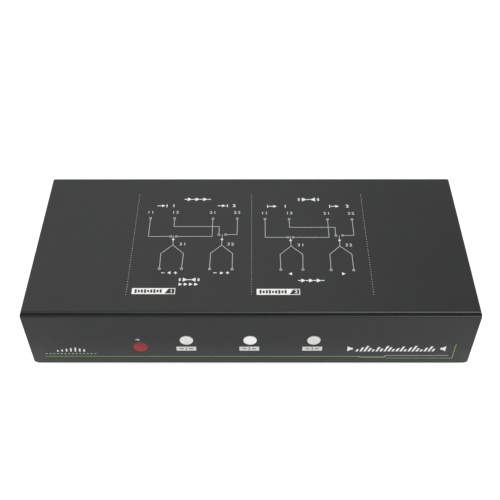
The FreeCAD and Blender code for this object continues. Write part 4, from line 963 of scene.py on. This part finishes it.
def byRay(tree, lighting, mirrored, seen):
    # one level for what lights the object, one for what gloss and glass show, one for the camera
    rays = addNode(tree, "LightPath").outputs
    either = addNode(tree, "Math", {"operation": "MAXIMUM"},
                     {0: rays["Is Glossy Ray"], 1: rays["Is Transmission Ray"]})
    level = addNode(tree, "Mix", {2: lighting}, {0: either.outputs[0], 3: mirrored})
    return addNode(tree, "Mix", {3: seen}, {0: rays["Is Camera Ray"], 2: level.outputs[0]}).outputs[0]


def makeStage():
    floor = {"size": 6.0, "colour": "#d8d8d8", "rough": 0.9, "mirrored": 0.26, "seen": 0.74}
    strip = {"start": 13.0, "end": -2.0, "more": 0.38}  # a painted pool of light on the floor before the front, in mm from it, that only gloss sees; it brightens the reflection low on the front face
    deselect()
    bpy.ops.mesh.primitive_plane_add(size=floor["size"], location=(0, 0, 0))
    ground = bpy.context.object
    ground.name = "paleFloor"
    # matt painted board: the camera sees it near white, and the object's shadow stays on it
    paint = bpy.data.materials.new("mattBoardPaint")
    paint.use_nodes = True
    tree = paint.node_tree
    shader = tree.nodes["Principled BSDF"]
    shader.inputs["Base Color"].default_value = linear(floor["colour"])
    shader.inputs["Roughness"].default_value = floor["rough"]
    shader.inputs["Emission Color"].default_value = (1, 1, 1, 1)
    place = addNode(tree, "TexCoord").outputs["Object"]
    place = addNode(tree, "SeparateXYZ", links={"Vector": place}).outputs["Y"]
    middle, half = (strip["start"] + strip["end"]) / 2, (strip["start"] - strip["end"]) / 2
    band = {"operation": "COMPARE", 1: (case["front"] - middle) * mm, 2: half * mm}
    inStrip = addNode(tree, "Math", band, {0: place}).outputs[0]
    mirrored = ramp(tree, inStrip, 0.0, 1.0, floor["mirrored"], floor["mirrored"] + strip["more"])
    tree.links.new(byRay(tree, 0.0, mirrored, floor["seen"]), shader.inputs["Emission Strength"])
    ground.data.materials.append(paint)


def makeLight():
    # a white room, unlit overhead on the camera's side, which gloss shows as a dark band on edges
    sky = {"level": 0.94, "seen": 1.0, "unlit": 0.03}
    ramps = {  # a direction's axis, where the ramp starts and ends on it, and the level at each
        "behind": ("Y", -0.1, 0.44, sky["unlit"], sky["seen"], "SMOOTHSTEP"),
        "aside": ("X", 0.0, 0.26, 0.97, 0.76),
        "low": ("Z", 0.56, 0.7, sky["seen"], sky["unlit"]),
        "ahead": ("Y", 0.1, 0.45, 1.0, 0.0),
    }
    world = bpy.data.worlds.new("softRoom")
    bpy.context.scene.world = world
    world.use_nodes = True
    tree = world.node_tree
    background = tree.nodes["Background"]
    background.inputs["Color"].default_value = (1, 1, 1, 1)
    way = addNode(tree, "TexCoord").outputs["Generated"]
    way = addNode(tree, "SeparateXYZ", links={"Vector": way}).outputs
    level = {name: ramp(tree, way[axis], *settings) for name, (axis, *settings) in ramps.items()}
    rear = addNode(tree, "Math", {"operation": "MULTIPLY"}, {0: level["behind"], 1: level["aside"]})
    front = addNode(tree, "Math", {"operation": "MULTIPLY"}, {0: level["low"], 1: level["ahead"]})
    ceiling = addNode(tree, "Math", {"operation": "MAXIMUM"}, {0: rear.outputs[0], 1: front.outputs[0]})
    tree.links.new(byRay(tree, sky["level"], ceiling.outputs[0], sky["seen"]), background.inputs["Strength"])
    softboxes = {  # places and sizes in metres, power in watts
        "softboxAbove": {"place": (-0.17, 0.35, 1.1), "aim": (0, 0, 0.04), "size": 1.2, "power": 2.0},
        "softboxFront": {"place": (0.5, -1.2, 0.5), "aim": (0.05, 0, 0.03), "size": 0.5, "power": 3.0},
    }
    for name, box in softboxes.items():
        deselect()
        bpy.ops.object.light_add(type="AREA", location=box["place"])
        lamp = bpy.context.object
        lamp.name = name
        lamp.data.shape = "SQUARE"
        lamp.data.size = box["size"]
        lamp.data.energy = box["power"]
        lamp.rotation_euler = (Vector(box["aim"]) - Vector(box["place"])).to_track_quat("-Z", "Y").to_euler()


def makeCamera():
    view = {"place": (0.629, -320.373, 372.049), "down": 46.967, "yaw": -0.2075, "roll": -0.1598,
            "lens": 57.493, "sensor": 36.0, "nearest": 0.01}
    deselect()
    bpy.ops.object.camera_add()
    camera = bpy.context.object
    camera.data.lens = view["lens"]
    camera.data.sensor_width = view["sensor"]
    camera.data.clip_start = view["nearest"]
    camera.matrix_world = (Matrix.Translation(Vector(view["place"]) * mm)
                           @ Matrix.Rotation(radians(-view["yaw"]), 4, "Z")
                           @ Matrix.Rotation(radians(90 - view["down"]), 4, "X")
                           @ Matrix.Rotation(radians(view["roll"]), 4, "Z"))
    bpy.context.scene.camera = camera


makeStage()
makeLight()
makeCamera()
bpy.context.scene.view_settings.view_transform = "Standard"
print("stage, light and camera set")
